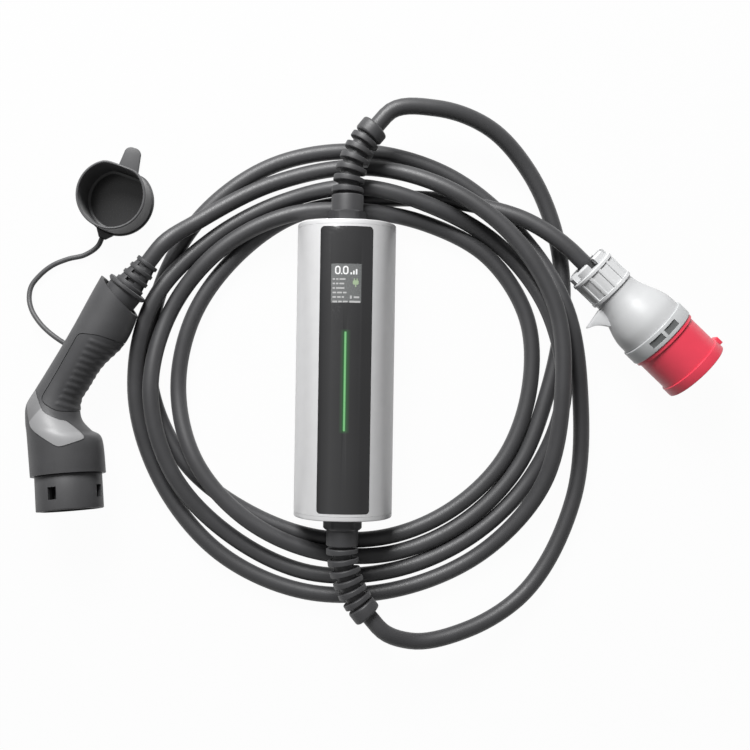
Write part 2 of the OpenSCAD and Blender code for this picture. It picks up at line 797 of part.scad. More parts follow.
nut_ribs = 12;
nut_rib_w = 3;
nut_panel_depth = 1.3;
nut_rib_drop = 0.4;
nut_lip = 3;
claws = 8;
claw_d = 30;
claw_gap = 3;
module plug_nut() {
    color([0.9, 0.9, 0.9]) at_plug(0) difference() {
        union() {
            translate([0, 0, nut_from]) cylinder(r = nut_d / 2 - nut_panel_depth, h = nut_l);
            translate([0, 0, body_from - nut_lip]) cylinder(d = nut_d, h = nut_lip);
            translate([0, 0, nut_from]) cylinder(d = nut_d, h = nut_lip);
            for (i = [0:nut_ribs - 1]) rotate([0, 0, i * 360 / nut_ribs])
                translate([claw_d / 2, -nut_rib_w / 2, nut_from + nut_lip / 2])
                    cube([(nut_d - claw_d) / 2 - nut_rib_drop, nut_rib_w, nut_l - nut_lip]);
            cylinder(d = claw_d, h = claw_l + over);
        }
        translate([0, 0, -over]) cylinder(d = cable_d + 2 * seal_t + 2 * fit_gap, h = body_from + over);
        for (i = [0:claws / 2 - 1]) rotate([0, 0, i * 360 / claws])
            cube([claw_d + over, claw_gap, 2 * claw_l - over], center = true);
    }
}

seal_t = 3;
module cable_seal() {
    color([0.14, 0.14, 0.15]) at_plug(0) cylinder(d = cable_d + 2 * seal_t, h = body_from);
}

// Routes of the cables, in turns round one middle: bearing, radius and height at each point
loop_at = [10, 0];
function around(b, r, z) = [loop_at[0] + r * cos(b), loop_at[1] + r * sin(b), z];

// A point straight out of a strain relief's end
function relief_exit(side, ahead) =
    [relief_bend_r * (1 - cos(relief_bend)) + ahead * sin(relief_bend),
        side * (relief_start + relief_bend_r * sin(relief_bend) + ahead * cos(relief_bend)), gland_z];

// A point straight out of the boot's tip, and one behind the plug's seal
function boot_exit(ahead) = connector_at + boot_at
    + (boot_flange_t + boot_l + ahead) * [cos(boot_heading), sin(boot_heading), 0];
function plug_exit(ahead) = plug_at - ahead * [cos(plug_heading), sin(plug_heading), 0];

vehicle_turns = [
    [282, 235, 33], [294, 243, 23], [306, 244, 13], [330, 222, 7], [354, 198, 10],
    [18, 189, 22], [42, 187, 8], [66, 190, 7], [90, 193, 7], [114, 195, 7], [138, 192, 7], [162, 186, 7],
    [186, 181, 7], [210, 170, 7], [234, 156, 7], [258, 150, 7], [282, 148, 7], [306, 148, 7], [330, 151, 7],
    [354, 153, 7],
    [18, 157, 7], [42, 153, 7], [66, 143, 8], [90, 139, 18], [114, 147, 21], [138, 158, 17], [162, 170, 12],
    [186, 179, 21], [210, 183, 18], [234, 182, 7], [258, 182, 7], [282, 178, 7], [306, 177, 7], [330, 180, 7],
    [354, 181, 20],
    [18, 174, 22], [42, 167, 8], [66, 157, 21], [90, 159, 22], [114, 162, 8], [138, 171, 9], [162, 186, 21],
    [186, 193, 17], [210, 197, 7], [234, 200, 7], [258, 199, 7], [282, 195, 7], [306, 194, 7], [330, 189, 21],
    [354, 177, 34],
    [18, 178, 36], [42, 176, 35], [66, 175, 29], [90, 178, 12], [114, 179, 12], [138, 189, 21]];

supply_turns = [
    [74, 233, 38], [62, 238, 27], [50, 230, 14], [36, 213, 8], [18, 190, 7],
    [354, 169, 7], [330, 165, 7], [306, 163, 7], [282, 163, 8], [258, 161, 16], [234, 160, 21], [210, 160, 20],
    [186, 157, 8], [162, 151, 7], [138, 146, 7], [114, 147, 7], [90, 149, 7],
    [66, 166, 8], [54, 179, 18], [42, 196, 26]];

cable_sides = 10;
// How far a cable runs straight out of a strain relief, and into the boot or the plug
relief_lead = 18;
end_lead = 20;

module vehicle_cable() {
    route = concat([relief_exit(-1, 0), relief_exit(-1, relief_lead)],
        [for (p = vehicle_turns) around(p[0], p[1], p[2])], [boot_exit(end_lead), boot_exit(0)]);
    color([0.23, 0.23, 0.24]) skin(tube_rings(route, cable_d, cable_sides));
}

module supply_cable() {
    route = concat([relief_exit(1, 0), relief_exit(1, relief_lead)],
        [for (p = supply_turns) around(p[0], p[1], p[2])], [plug_exit(end_lead), plug_exit(0)]);
    color([0.23, 0.23, 0.24]) skin(tube_rings(route, cable_d, cable_sides));
}

// The dust cap's strap, from the cap's lug to the handle's anchor
strap_route = [[-231, 99, 3], [-246, 95, 3], [-260, 89, 3], [-271, 80, 3], [-278, 70, 4], [-279, 60, 6],
    [-276, 50, 9], [-269, 40, 13]];
strap_sides = 8;
// How far the strap runs straight out of the lug and out of the anchor
strap_lead = [6, 8];
module cap_strap() {
    lug_way = [cos(lug_heading), sin(lug_heading), 0];
    lug_end = [each cap_at, strap_d / 2] + (cap_base_d / 2 + lug_l) * lug_way;
    anchor_way = [cos(anchor_heading), sin(anchor_heading), 0];
    anchor_end = connector_at + anchor_at;
    route = concat([lug_end, lug_end + strap_lead[0] * lug_way], strap_route,
        [anchor_end + strap_lead[1] * anchor_way, anchor_end]);
    color([0.2, 0.2, 0.21]) skin(tube_rings(route, strap_d, strap_sides));
}

housing_sleeve();
front_panel();
display();
light_guide();
top_end_plate();
bottom_end_plate();
end_gaskets();
end_screws();
main_board();
relays();
current_sensor();
terminal_blocks();
power_module();
top_gland_nut();
bottom_gland_nut();
top_strain_relief();
bottom_strain_relief();
connector_body();
connector_accents();
connector_grip();
connector_nose();
contact_carrier();
contacts();
boot_flange();
cable_boot();
dust_cap();
cap_strap();
plug_shroud();
plug_pins();
pin_carrier();
locking_ring();
plug_body();
plug_nut();
cable_seal();
vehicle_cable();
supply_cable();
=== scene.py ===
import math

import bmesh
import bpy
from mathutils import Matrix, Vector


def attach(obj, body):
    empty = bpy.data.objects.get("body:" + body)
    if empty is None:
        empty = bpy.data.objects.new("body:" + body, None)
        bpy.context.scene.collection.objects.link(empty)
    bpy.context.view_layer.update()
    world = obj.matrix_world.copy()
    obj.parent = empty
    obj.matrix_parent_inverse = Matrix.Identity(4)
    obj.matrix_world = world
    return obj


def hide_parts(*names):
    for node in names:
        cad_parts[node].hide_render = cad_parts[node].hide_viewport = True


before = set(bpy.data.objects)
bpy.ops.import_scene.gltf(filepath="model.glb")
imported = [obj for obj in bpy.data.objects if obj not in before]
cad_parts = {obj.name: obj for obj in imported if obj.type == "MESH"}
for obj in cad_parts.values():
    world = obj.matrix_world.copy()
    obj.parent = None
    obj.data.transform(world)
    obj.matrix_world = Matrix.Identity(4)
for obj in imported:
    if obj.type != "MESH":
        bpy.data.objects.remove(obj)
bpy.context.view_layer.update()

# Forms are written in millimetres and become metres as meshes. Names that end in _M are in metres
MM = 0.001
BODY = "root"
UP = Vector((0, 0, 1))


def cosd(degrees):
    return math.cos(math.radians(degrees))


def sind(degrees):
    return math.sin(math.radians(degrees))


def placed(name, data):
    """A new object in the scene."""
    thing = bpy.data.objects.new(name, data)
    bpy.context.scene.collection.objects.link(thing)
    return thing


# Shader nodes

def grey(level):
    return (level, level, level, 1)


def shade(colour, factor):
    return tuple(min(1.0, c * factor) for c in colour)


def cleared_tree(holder):
    """The node tree of a world or a material, with nothing in it."""
    holder.use_nodes = True
    holder.node_tree.nodes.clear()
    return holder.node_tree


def feed(tree, node, inputs):
    """Gives each of a node's inputs a link from a socket, or a plain value."""
    for key, value in inputs.items():
        if isinstance(value, bpy.types.NodeSocket):
            tree.links.new(value, node.inputs[key])
        else:
            node.inputs[key].default_value = value


def add_node(tree, kind, inputs, operation=None):
    node = tree.nodes.new(kind)
    if operation:
        node.operation = operation
    feed(tree, node, inputs)
    return node


def maths(tree, operation, *values):
    """The outcome of an operation on sockets and plain values."""
    return add_node(tree, "ShaderNodeMath", dict(enumerate(values)), operation).outputs[0]


def multiplied(tree, share, first, second):
    """One colour times another, as far as a share says."""
    node = add_node(tree, "ShaderNodeMixRGB", {"Fac": share, "Color1": first, "Color2": second})
    node.blend_type = "MULTIPLY"
    return node.outputs[0]


def coordinates(tree, kind="Object", stretch=(1, 1, 1)):
    source = tree.nodes.new("ShaderNodeTexCoord").outputs[kind]
    return add_node(tree, "ShaderNodeMapping", {"Vector": source, "Scale": stretch}).outputs["Vector"]


def noise(tree, vector, scale, detail=2.0):
    inputs = {"Vector": vector, "Scale": scale, "Detail": detail}
    return add_node(tree, "ShaderNodeTexNoise", inputs).outputs["Fac"]


def ramp(tree, factor, low, high, start=0.3, end=0.7):
    """Blends two colours, or two grey levels, over part of a factor's range."""
    node = add_node(tree, "ShaderNodeValToRGB", {"Fac": factor})
    for element, place, value in zip(node.color_ramp.elements, (start, end), (low, high)):
        element.position = place
        element.color = (*value, 1) if isinstance(value, tuple) else grey(value)
    return node.outputs["Color"]


def distance_share(tree, axis, middle, reach, signed=False):
    """Distance from a middle along an axis, in millimetres, as a share of a reach."""
    along = add_node(tree, "ShaderNodeVectorMath", {0: coordinates(tree), 1: axis}, "DOT_PRODUCT")
    share = maths(tree, "DIVIDE", maths(tree, "SUBTRACT", along.outputs["Value"], middle * MM), reach * MM)
    return share if signed else maths(tree, "ABSOLUTE", share)


def new_material(name):
    material = bpy.data.materials.new(name)
    tree = cleared_tree(material)
    shader = tree.nodes.new("ShaderNodeBsdfPrincipled")
    add_node(tree, "ShaderNodeOutputMaterial", {"Surface": shader.outputs[0]})
    return material, tree, shader


def shader_of(material):
    return next(n for n in material.node_tree.nodes if n.type == "BSDF_PRINCIPLED")


def scale_input(material, name, share, level):
    """Multiplies what one of a material's inputs gets by a level where a share is 1."""
    tree, shader = material.node_tree, shader_of(material)
    before = shader.inputs[name].links[0].from_socket
    feed(tree, shader, {name: multiplied(tree, share, before, grey(level))})


GRAIN_HEIGHT = 0.2
ROUGH_SPREAD = 0.07
COAT_ROUGH = 0.03


def moulded(name, colour, rough, grain, bump, mottle, spread=0.1, sheen=0.0, metallic=0.0, coat=0.0):
    """A surface with a fine grain in its height, and slow changes in colour and roughness."""
    material, tree, shader = new_material(name)
    vector = coordinates(tree)
    patches = noise(tree, vector, mottle, 3)
    fine = noise(tree, vector, grain)
    height = {"Strength": bump, "Distance": GRAIN_HEIGHT * MM, "Height": fine}
    feed(tree, shader, {
        "Base Color": ramp(tree, patches, shade(colour, 1 - spread), shade(colour, 1 + spread)),
        "Roughness": ramp(tree, fine, max(rough - ROUGH_SPREAD, 0.02), min(rough + ROUGH_SPREAD, 1)),
        "Normal": add_node(tree, "ShaderNodeBump", height).outputs["Normal"],
        "Metallic": metallic,
        "Sheen Weight": sheen,
        "Coat Weight": coat,
        "Coat Roughness": COAT_ROUGH})
    return material


# Camera, light and floor

IMAGE_PX = 750
FOCAL_PX = 1015
CAMERA_HEIGHT = 900
CAMERA_OVER = Vector((0, -8))
# What lies in the middle of the picture, at the height where the cables lie
PICTURE_MIDDLE = Vector((26.2, -3.3))
MIDDLE_HEIGHT = 20
BOX_LEAN_DEG = 0.9
SENSOR_MM = 36
VIEW_REACH_M = 20
LAMP_AT_M = Vector((-0.38, 1.15, 1.0))
LAMP_SIZE_M = 0.8
LAMP_WATTS = 46
WORLD_LIGHT = 0.22
WORLD_SEEN = 0.65
SKY_LIGHT_EDGE = 0.35
SKY_DARK_SIDE = 0.52
SKY_BLEND = (0.3, 0.75)
FLOOR_HALF_M = 6
FLOOR_DROP = 0.3
FLOOR_GLOW = 0.97
FLOOR_BOUNCE = 0.4


def add_camera():
    data = bpy.data.cameras.new("photo_camera")
    data.sensor_width = SENSOR_MM
    data.lens = SENSOR_MM * FOCAL_PX / IMAGE_PX
    data.clip_end = VIEW_REACH_M
    aside = Matrix.Rotation(math.radians(-BOX_LEAN_DEG), 2) @ (PICTURE_MIDDLE - CAMERA_OVER)
    aside *= FOCAL_PX / IMAGE_PX / (CAMERA_HEIGHT - MIDDLE_HEIGHT)
    data.shift_x, data.shift_y = aside
    camera = placed("photo_camera", data)
    camera.location = CAMERA_OVER.to_3d() * MM + CAMERA_HEIGHT * MM * UP
    camera.rotation_euler = (0, 0, math.radians(BOX_LEAN_DEG))
    bpy.context.scene.camera = camera


def add_lamp():
    """A round lamp that faces the middle of the part."""
    data = bpy.data.lights.new("key", "AREA")
    data.shape = "DISK"
    data.size = LAMP_SIZE_M
    data.energy = LAMP_WATTS
    lamp = placed("key", data)
    lamp.location = LAMP_AT_M
    lamp.rotation_euler = (-LAMP_AT_M).to_track_quat("-Z", "Y").to_euler()


def light_path_mix(tree):
    """A factor that is 1 for rays that see or reflect the surface, and 0 for rays that light from it."""
    path = tree.nodes.new("ShaderNodeLightPath")
    seen = path.outputs["Is Camera Ray"]
    for other in ("Is Glossy Ray", "Is Transmission Ray"):
        seen = maths(tree, "MAXIMUM", seen, path.outputs[other])
    return seen


def end_in_mix(tree, output, share, lit, seen):
    mix = add_node(tree, "ShaderNodeMixShader", {0: share, 1: lit.outputs[0], 2: seen.outputs[0]})
    add_node(tree, output, {"Surface": mix.outputs[0]})


def add_world():
    world = bpy.data.worlds.new("studio")
    tree = cleared_tree(world)
    split = add_node(tree, "ShaderNodeSeparateXYZ", {0: coordinates(tree, "Generated")})
    across = maths(tree, "MULTIPLY_ADD", split.outputs["X"], 0.5, 0.5)
    sky = ramp(tree, across, 1, SKY_DARK_SIDE, *SKY_BLEND)
    sky.node.color_ramp.elements.new(0).color = grey(SKY_LIGHT_EDGE)
    lit = add_node(tree, "ShaderNodeBackground", {"Color": sky, "Strength": WORLD_LIGHT})
    seen = add_node(tree, "ShaderNodeBackground", {"Color": sky, "Strength": WORLD_SEEN})
    end_in_mix(tree, "ShaderNodeOutputWorld", light_path_mix(tree), lit, seen)
    bpy.context.scene.world = world


def add_floor():
    half = FLOOR_HALF_M
    mesh = bpy.data.meshes.new("floor")
    corners = [(-half, -half, 0), (half, -half, 0), (half, half, 0), (-half, half, 0)]
    mesh.from_pydata(corners, [], [(0, 1, 2, 3)])
    floor = placed("floor", mesh)
    floor.location.z = -FLOOR_DROP * MM
    material = bpy.data.materials.new("floor_white")
    tree = cleared_tree(material)
    diffuse = add_node(tree, "ShaderNodeBsdfDiffuse", {"Color": grey(FLOOR_BOUNCE)})
    glow = add_node(tree, "ShaderNodeEmission", {"Strength": 1})
    share = maths(tree, "MULTIPLY", light_path_mix(tree), FLOOR_GLOW)
    end_in_mix(tree, "ShaderNodeOutputMaterial", share, diffuse, glow)
    mesh.materials.append(material)


bpy.context.scene.view_settings.view_transform = "Standard"
add_camera()
add_world()
add_floor()
add_lamp()


# Materials of the part

CABLE = moulded("cable_jacket", (0.036, 0.036, 0.038), 0.5, grain=900, bump=0.1, spread=0.12, mottle=35,
                sheen=0.12)
SILVER = moulded("silver_metal", (0.62, 0.62, 0.625), 0.42, grain=2600, bump=0.05, spread=0.02, mottle=90,
                 metallic=0.2)
BLACK_GLOSS = moulded("black_gloss", (0.012, 0.012, 0.013), 0.1, grain=500, bump=0.004, spread=0.15,
                      mottle=20, coat=1.0)
RELIEF = moulded("relief_rubber", (0.036, 0.036, 0.038), 0.52, grain=1500, bump=0.12, mottle=80, sheen=0.1)
GLAND = moulded("gland_black", (0.03, 0.03, 0.032), 0.42, grain=1800, bump=0.12, mottle=70)
CONNECTOR = moulded("connector_grey", (0.049, 0.049, 0.051), 0.5, grain=1700, bump=0.3, spread=0.08,
                    mottle=70)
ACCENT = moulded("accent_grey", (0.25, 0.25, 0.254), 0.5, grain=1900, bump=0.1, spread=0.03, mottle=60)
GRIP = moulded("grip_rubber", (0.028, 0.028, 0.03), 0.6, grain=1600, bump=0.25, mottle=90, sheen=0.15)
CAP = moulded("cap_rubber", (0.052, 0.052, 0.054), 0.55, grain=1300, bump=0.15, mottle=50, sheen=0.2)
SEAL = moulded("seal_rubber", (0.025, 0.025, 0.026), 0.7, grain=1200, bump=0.1, mottle=60)
RED = moulded("plug_red", (0.7, 0.05, 0.085), 0.36, grain=1500, bump=0.08, spread=0.04, mottle=50)
PLUG_RING = moulded("plug_ring", (0.46, 0.47, 0.475), 0.4, grain=1500, bump=0.1, spread=0.03, mottle=50)
WINDOW_PAD = moulded("window_pad", (0.1, 0.105, 0.105), 0.5, grain=1500, bump=0.1, mottle=60)
PLUG_GREY = moulded("plug_grey", (0.48, 0.485, 0.49), 0.42, grain=1500, bump=0.1, spread=0.03, mottle=40)
PLUG_WHITE = moulded("plug_white", (0.56, 0.565, 0.57), 0.42, grain=1500, bump=0.1, spread=0.02, mottle=50)
BRASS = moulded("contact_metal", (0.72, 0.64, 0.44), 0.28, grain=1200, bump=0.06, metallic=1.0, mottle=140)
STEEL = moulded("screw_steel", (0.55, 0.55, 0.56), 0.32, grain=1500, bump=0.08, metallic=1.0, mottle=140)
BOARD = moulded("board", (0.02, 0.13, 0.05), 0.35, grain=700, bump=0.1, mottle=120)
COMPONENT = moulded("component_dark", (0.03, 0.03, 0.036), 0.5, grain=1300, bump=0.15, mottle=60)
TERMINAL = moulded("terminal_green", (0.04, 0.2, 0.07), 0.45, grain=1300, bump=0.12, mottle=60)


# Mesh helpers

SMOOTH_DEG = 35
SMOOTH_CARVED_DEG = 30
SMOOTH_GRIP_DEG = 40
SMOOTH_CORD_DEG = 60


def finish_piece(mesh, name, material, replaced, smooth_deg=SMOOTH_DEG):
    """Makes a mesh into a piece that rides with the part and stands for its solids."""
    mesh.validate()
    mesh.materials.append(material)
    piece = placed(name, mesh)
    mesh.shade_smooth()
    mesh.set_sharp_from_angle(angle=math.radians(smooth_deg))
    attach(piece, BODY)
    if replaced:
        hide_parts(*replaced)
    return piece


def add_skin(mesh, node, material, smooth_deg=SMOOTH_DEG):
    return finish_piece(mesh, node + "_skin", material, [node], smooth_deg)


def mesh_of(name, points, faces):
    """A mesh from points in millimetres, with its faces turned outwards."""
    mesh = bpy.data.meshes.new(name)
    mesh.from_pydata([Vector(p) * MM for p in points], [], faces)
    form = bmesh.new()
    form.from_mesh(mesh)
    bmesh.ops.recalc_face_normals(form, faces=form.faces)
    form.to_mesh(mesh)
    form.free()
    return mesh


def ring_faces(rings, n, closed):
    """Quads between neighbouring rings of n points, with caps unless the rings close on themselves."""
    faces = []
    spans = rings if closed else rings - 1
    for i in range(spans):
        k = (i + 1) % rings
        faces += [(i * n + j, k * n + j, k * n + (j + 1) % n, i * n + (j + 1) % n) for j in range(n)]
    if not closed:
        faces += [tuple(range(n)), tuple(range((rings - 1) * n, rings * n))]
    return faces


def loft(name, rings, closed=False):
    """A solid through rings of points, or a closed loop of them round a hole."""
    points = [p for ring in rings for p in ring]
    return mesh_of(name, points, ring_faces(len(rings), len(rings[0]), closed))


def catmull(points, steps):
    """Points of a smooth curve through a list of points, in equal steps on each span."""
    curve = []
    last = len(points) - 1
    for i in range(last):
        p0, p1 = points[max(i - 1, 0)], points[i]
        p2, p3 = points[i + 1], points[min(i + 2, last)]
        for k in range(steps):
            u = k / steps
            bend = 2 * p0 - 5 * p1 + 4 * p2 - p3 + u * (3 * (p1 - p2) + p3 - p0)
            curve.append(p1 + u / 2 * (p2 - p0 + u * bend))
    return curve + [points[-1]]


def axes_of(along):
    """Two directions square to an axis: level, and up from it."""
    side = UP.cross(along).normalized()
    return side, along.cross(side)


def circle(at, radius, side, lift, sides):
    turns = [2 * math.pi * j / sides for j in range(sides)]
    return [at + radius * (math.cos(t) * side + math.sin(t) * lift) for t in turns]


def tube_rings(route, radius, sides):
    rings = []
    for i, place in enumerate(route):
        along = (route[min(i + 1, len(route) - 1)] - route[max(i - 1, 0)]).normalized()
        rings.append(circle(place, radius, *axes_of(along), sides))
    return rings


# Cables and the dust cap's strap

LOOP_AT = Vector((10, 0, 0))
CABLE_D = 14
STRAP_D = 4.4
CABLE_PITCH, CABLE_SIDES = 6, 28
STRAP_PITCH, STRAP_SIDES = 2, 16

# Bearing, radius and height of each point of a cable, in turns round the middle of the loops
VEHICLE_TURNS = (
    (282, 235, 33), (294, 243, 23), (306, 244, 13), (330, 222, 7), (354, 198, 10),
    (18, 189, 22), (42, 187, 8), (66, 190, 7), (90, 193, 7), (114, 195, 7), (138, 192, 7), (162, 186, 7),
    (186, 181, 7), (210, 170, 7), (234, 156, 7), (258, 150, 7), (282, 148, 7), (306, 148, 7), (330, 151, 7),
    (354, 153, 7),
    (18, 157, 7), (42, 153, 7), (66, 143, 8), (90, 139, 18), (114, 147, 21), (138, 158, 17), (162, 170, 12),
    (186, 179, 21), (210, 183, 18), (234, 182, 7), (258, 182, 7), (282, 178, 7), (306, 177, 7), (330, 180, 7),
    (354, 181, 20),
    (18, 174, 22), (42, 167, 8), (66, 157, 21), (90, 159, 22), (114, 162, 8), (138, 171, 9), (162, 186, 21),
    (186, 193, 17), (210, 197, 7), (234, 200, 7), (258, 199, 7), (282, 195, 7), (306, 194, 7), (330, 189, 21),
    (354, 177, 34),
    (18, 178, 36), (42, 176, 35), (66, 175, 29), (90, 178, 12), (114, 179, 12), (138, 189, 21))
SUPPLY_TURNS = (
    (74, 233, 38), (62, 238, 27), (50, 230, 14), (36, 213, 8), (18, 190, 7),
    (354, 169, 7), (330, 165, 7), (306, 163, 7), (282, 163, 8), (258, 161, 16), (234, 160, 21),
    (210, 160, 20), (186, 157, 8), (162, 151, 7), (138, 146, 7), (114, 147, 7), (90, 149, 7),
    (66, 166, 8), (54, 179, 18), (42, 196, 26))
STRAP_ROUTE = (
    (-231, 99, 3), (-246, 95, 3), (-260, 89, 3), (-271, 80, 3), (-278, 70, 4), (-279, 60, 6), (-276, 50, 9),
    (-269, 40, 13))

# Sizes and places shared with the solids
END_Y = 125
GLAND_Z = 42
RELIEF_START = END_Y + 9 + 14
RELIEF_BEND_R = 86
RELIEF_BEND_DEG = 43
CONNECTOR_D = 63
CONNECTOR_AT = Vector((-235.2, -93, CONNECTOR_D / 2))
NOSE_HEADING = -84
NOSE_PITCH = 8
BOOT_AT = CONNECTOR_AT + Vector((46.5, 158.7, 0))
BOOT_HEADING = 52
BOOT_TIP = 31
PLUG_AT = Vector((203.9, 94.6, 31))
PLUG_HEADING = -43.1
CAP_AT = Vector((-202, 147, 0))
NOSE_D = 56.5
CAP_BORE_D = NOSE_D - 1.2
CAP_WALL = 1.6
CAP_D = CAP_BORE_D + 2 * CAP_WALL
CAP_BASE_D = CAP_D + 3.2
LUG_HEADING = 246
LUG_REACH = CAP_BASE_D / 2 + 5.5
ANCHOR_AT = CONNECTOR_AT + Vector((-7.5, 112.5, -12))
ANCHOR_HEADING = 148
ANCHOR_D, ANCHOR_L, ANCHOR_ROUND = 8, 12, 0.8


def heading(degrees):
    return Vector((cosd(degrees), sind(degrees), 0))


def around(bearing, radius, height):
    return LOOP_AT + radius * heading(bearing) + height * UP


def relief_exit(side, ahead):
    """A point straight out of the end of a strain relief."""
    c, s = cosd(RELIEF_BEND_DEG), sind(RELIEF_BEND_DEG)
    out = side * (RELIEF_START + RELIEF_BEND_R * s + ahead * c)
    return Vector((RELIEF_BEND_R * (1 - c) + ahead * s, out, GLAND_Z))


def smooth_route(points, pitch):
    """Points about a pitch apart on a smooth curve through a route's points, however far apart those are."""
    spans = [(b - a).length for a, b in zip(points, points[1:])]
    slopes = [(points[1] - points[0]) / spans[0]]
    for i in range(1, len(points) - 1):
        before, after = (points[i] - points[i - 1]) / spans[i - 1], (points[i + 1] - points[i]) / spans[i]
        slopes.append((before * spans[i] + after * spans[i - 1]) / (spans[i - 1] + spans[i]))
    slopes.append((points[-1] - points[-2]) / spans[-1])
    curve = []
    for i, span in enumerate(spans):
        steps = max(2, math.ceil(span / pitch))
        for k in range(steps):
            u = k / steps
            curve.append((2 * u ** 3 - 3 * u ** 2 + 1) * points[i]
                         + (u ** 3 - 2 * u ** 2 + u) * span * slopes[i]
                         + (3 * u ** 2 - 2 * u ** 3) * points[i + 1]
                         + (u ** 3 - u ** 2) * span * slopes[i + 1])
    return curve + [points[-1]]


def add_tube(name, points, diameter, pitch, sides, material, slot):
    """A cord along a route, and the route that it follows."""
    route = smooth_route(points, pitch)
    mesh = loft(name, tube_rings(route, diameter / 2, sides))
    return finish_piece(mesh, name + "_cord", material, [name], SMOOTH_CORD_DEG), route


CABLE_LEAD = 18
END_LEAD = 20
STRAP_LEAD = (6, 8)
vehicle_points = [relief_exit(-1, 0), relief_exit(-1, CABLE_LEAD)]
vehicle_points += [around(*p) for p in VEHICLE_TURNS]
vehicle_points += [BOOT_AT + (BOOT_TIP + ahead) * heading(BOOT_HEADING) for ahead in (END_LEAD, 0)]
supply_points = [relief_exit(1, 0), relief_exit(1, CABLE_LEAD)]
supply_points += [around(*p) for p in SUPPLY_TURNS]
supply_points += [PLUG_AT - ahead * heading(PLUG_HEADING) for ahead in (END_LEAD, 0)]
lug_end = CAP_AT + LUG_REACH * heading(LUG_HEADING) + STRAP_D / 2 * UP
strap_points = [lug_end, lug_end + STRAP_LEAD[0] * heading(LUG_HEADING)]
strap_points += [Vector(p) for p in STRAP_ROUTE]
strap_points += [ANCHOR_AT + STRAP_LEAD[1] * heading(ANCHOR_HEADING), ANCHOR_AT]

CABLE_LOOK = (CABLE_D, CABLE_PITCH, CABLE_SIDES, CABLE, "cable_jacket")
STRAP_LOOK = (STRAP_D, STRAP_PITCH, STRAP_SIDES, CAP, "cap_rubber")
vehicle_cable, vehicle_route = add_tube("vehicle_cable", vehicle_points, *CABLE_LOOK)
supply_cable, supply_route = add_tube("supply_cable", supply_points, *CABLE_LOOK)
cap_strap, strap_route = add_tube("cap_strap", strap_points, *STRAP_LOOK)


# Solids that the pieces are cut from

BOX_FACES = ((0, 1, 3, 2), (4, 6, 7, 5), (0, 4, 5, 1), (2, 3, 7, 6), (0, 2, 6, 4), (1, 5, 7, 3))


def applied(mesh, add_modifiers):
    """The mesh after modifiers that a function adds to an object of it."""
    holder = placed("holder", mesh)
    add_modifiers(holder)
    graph = bpy.context.evaluated_depsgraph_get()
    result = bpy.data.meshes.new_from_object(holder.evaluated_get(graph))
    result.name = mesh.name
    bpy.data.objects.remove(holder)
    return result


def carved(mesh, *cutters, operation="DIFFERENCE"):
    """The mesh with each cutter taken out of it, joined to it, or kept in common with it."""
    for cutter in cutters:
        tool = placed("tool", cutter)

        def add(holder):
            modifier = holder.modifiers.new("cut", "BOOLEAN")
            modifier.operation = operation
            modifier.solver = "EXACT"
            modifier.object = tool

        mesh = applied(mesh, add)
        bpy.data.objects.remove(tool)
    return mesh


def bevelled(mesh, width, angle=40, segments=2):
    def add(holder):
        modifier = holder.modifiers.new("round", "BEVEL")
        modifier.width = width * MM
        modifier.segments = segments
        modifier.limit_method = "ANGLE"
        modifier.angle_limit = math.radians(angle)

    return applied(mesh, add)


def joined(name, meshes):
    """One mesh of several, each of which stays closed."""
    form = bmesh.new()
    for mesh in meshes:
        form.from_mesh(mesh)
    result = bpy.data.meshes.new(name)
    form.to_mesh(result)
    form.free()
    return result


def prism(name, outline, low, high):
    """An outline in plan, drawn out between two heights."""
    return loft(name, [[(x, y, z) for x, y in outline] for z in (low, high)])


def rounded_outline(width, length, radius, at=(0, 0), steps=8):
    outline = []
    for x, y, start in ((1, 1, 0), (-1, 1, 90), (-1, -1, 180), (1, -1, 270)):
        for k in range(steps + 1):
            turn = start + 90 * k / steps
            outline.append((at[0] + x * (width / 2 - radius) + radius * cosd(turn),
                            at[1] + y * (length / 2 - radius) + radius * sind(turn)))
    return outline


def turned(name, profile, at, along, sides=96):
    """A turned solid: stations along an axis and a radius at each."""
    axes = axes_of(along)
    return loft(name, [circle(at + s * along, r, *axes, sides) for s, r in profile])


def block(name, at, along, turn, low, high):
    """A box by its lowest and highest corner along, beside and above an axis, turned about the axis."""
    side, lift = axes_of(along)
    side, lift = cosd(turn) * side + sind(turn) * lift, cosd(turn) * lift - sind(turn) * side
    xs, ys, zs = zip(low, high)
    corners = [at + x * along + y * side + z * lift for x in xs for y in ys for z in zs]
    return mesh_of(name, corners, BOX_FACES)


def arc(centre, radius, start, end, steps):
    """Station and radius pairs along part of a circle in a turned form's profile."""
    turns = [start + (end - start) * k / steps for k in range(steps + 1)]
    return [(centre[0] + radius * cosd(t), centre[1] + radius * sind(t)) for t in turns]


def rod(low, high, radius):
    return [(low, radius), (high, radius)]


def rib(low, high, foot, radius, rim, steps):
    """A rib with rounded rims in a turned form's profile, from its foot's radius up to its own."""
    return ([(low, foot)] + arc((low + rim, radius - rim), rim, 180, 90, steps)
            + arc((high - rim, radius - rim), rim, 90, 0, steps) + [(high, foot)])


# Control box

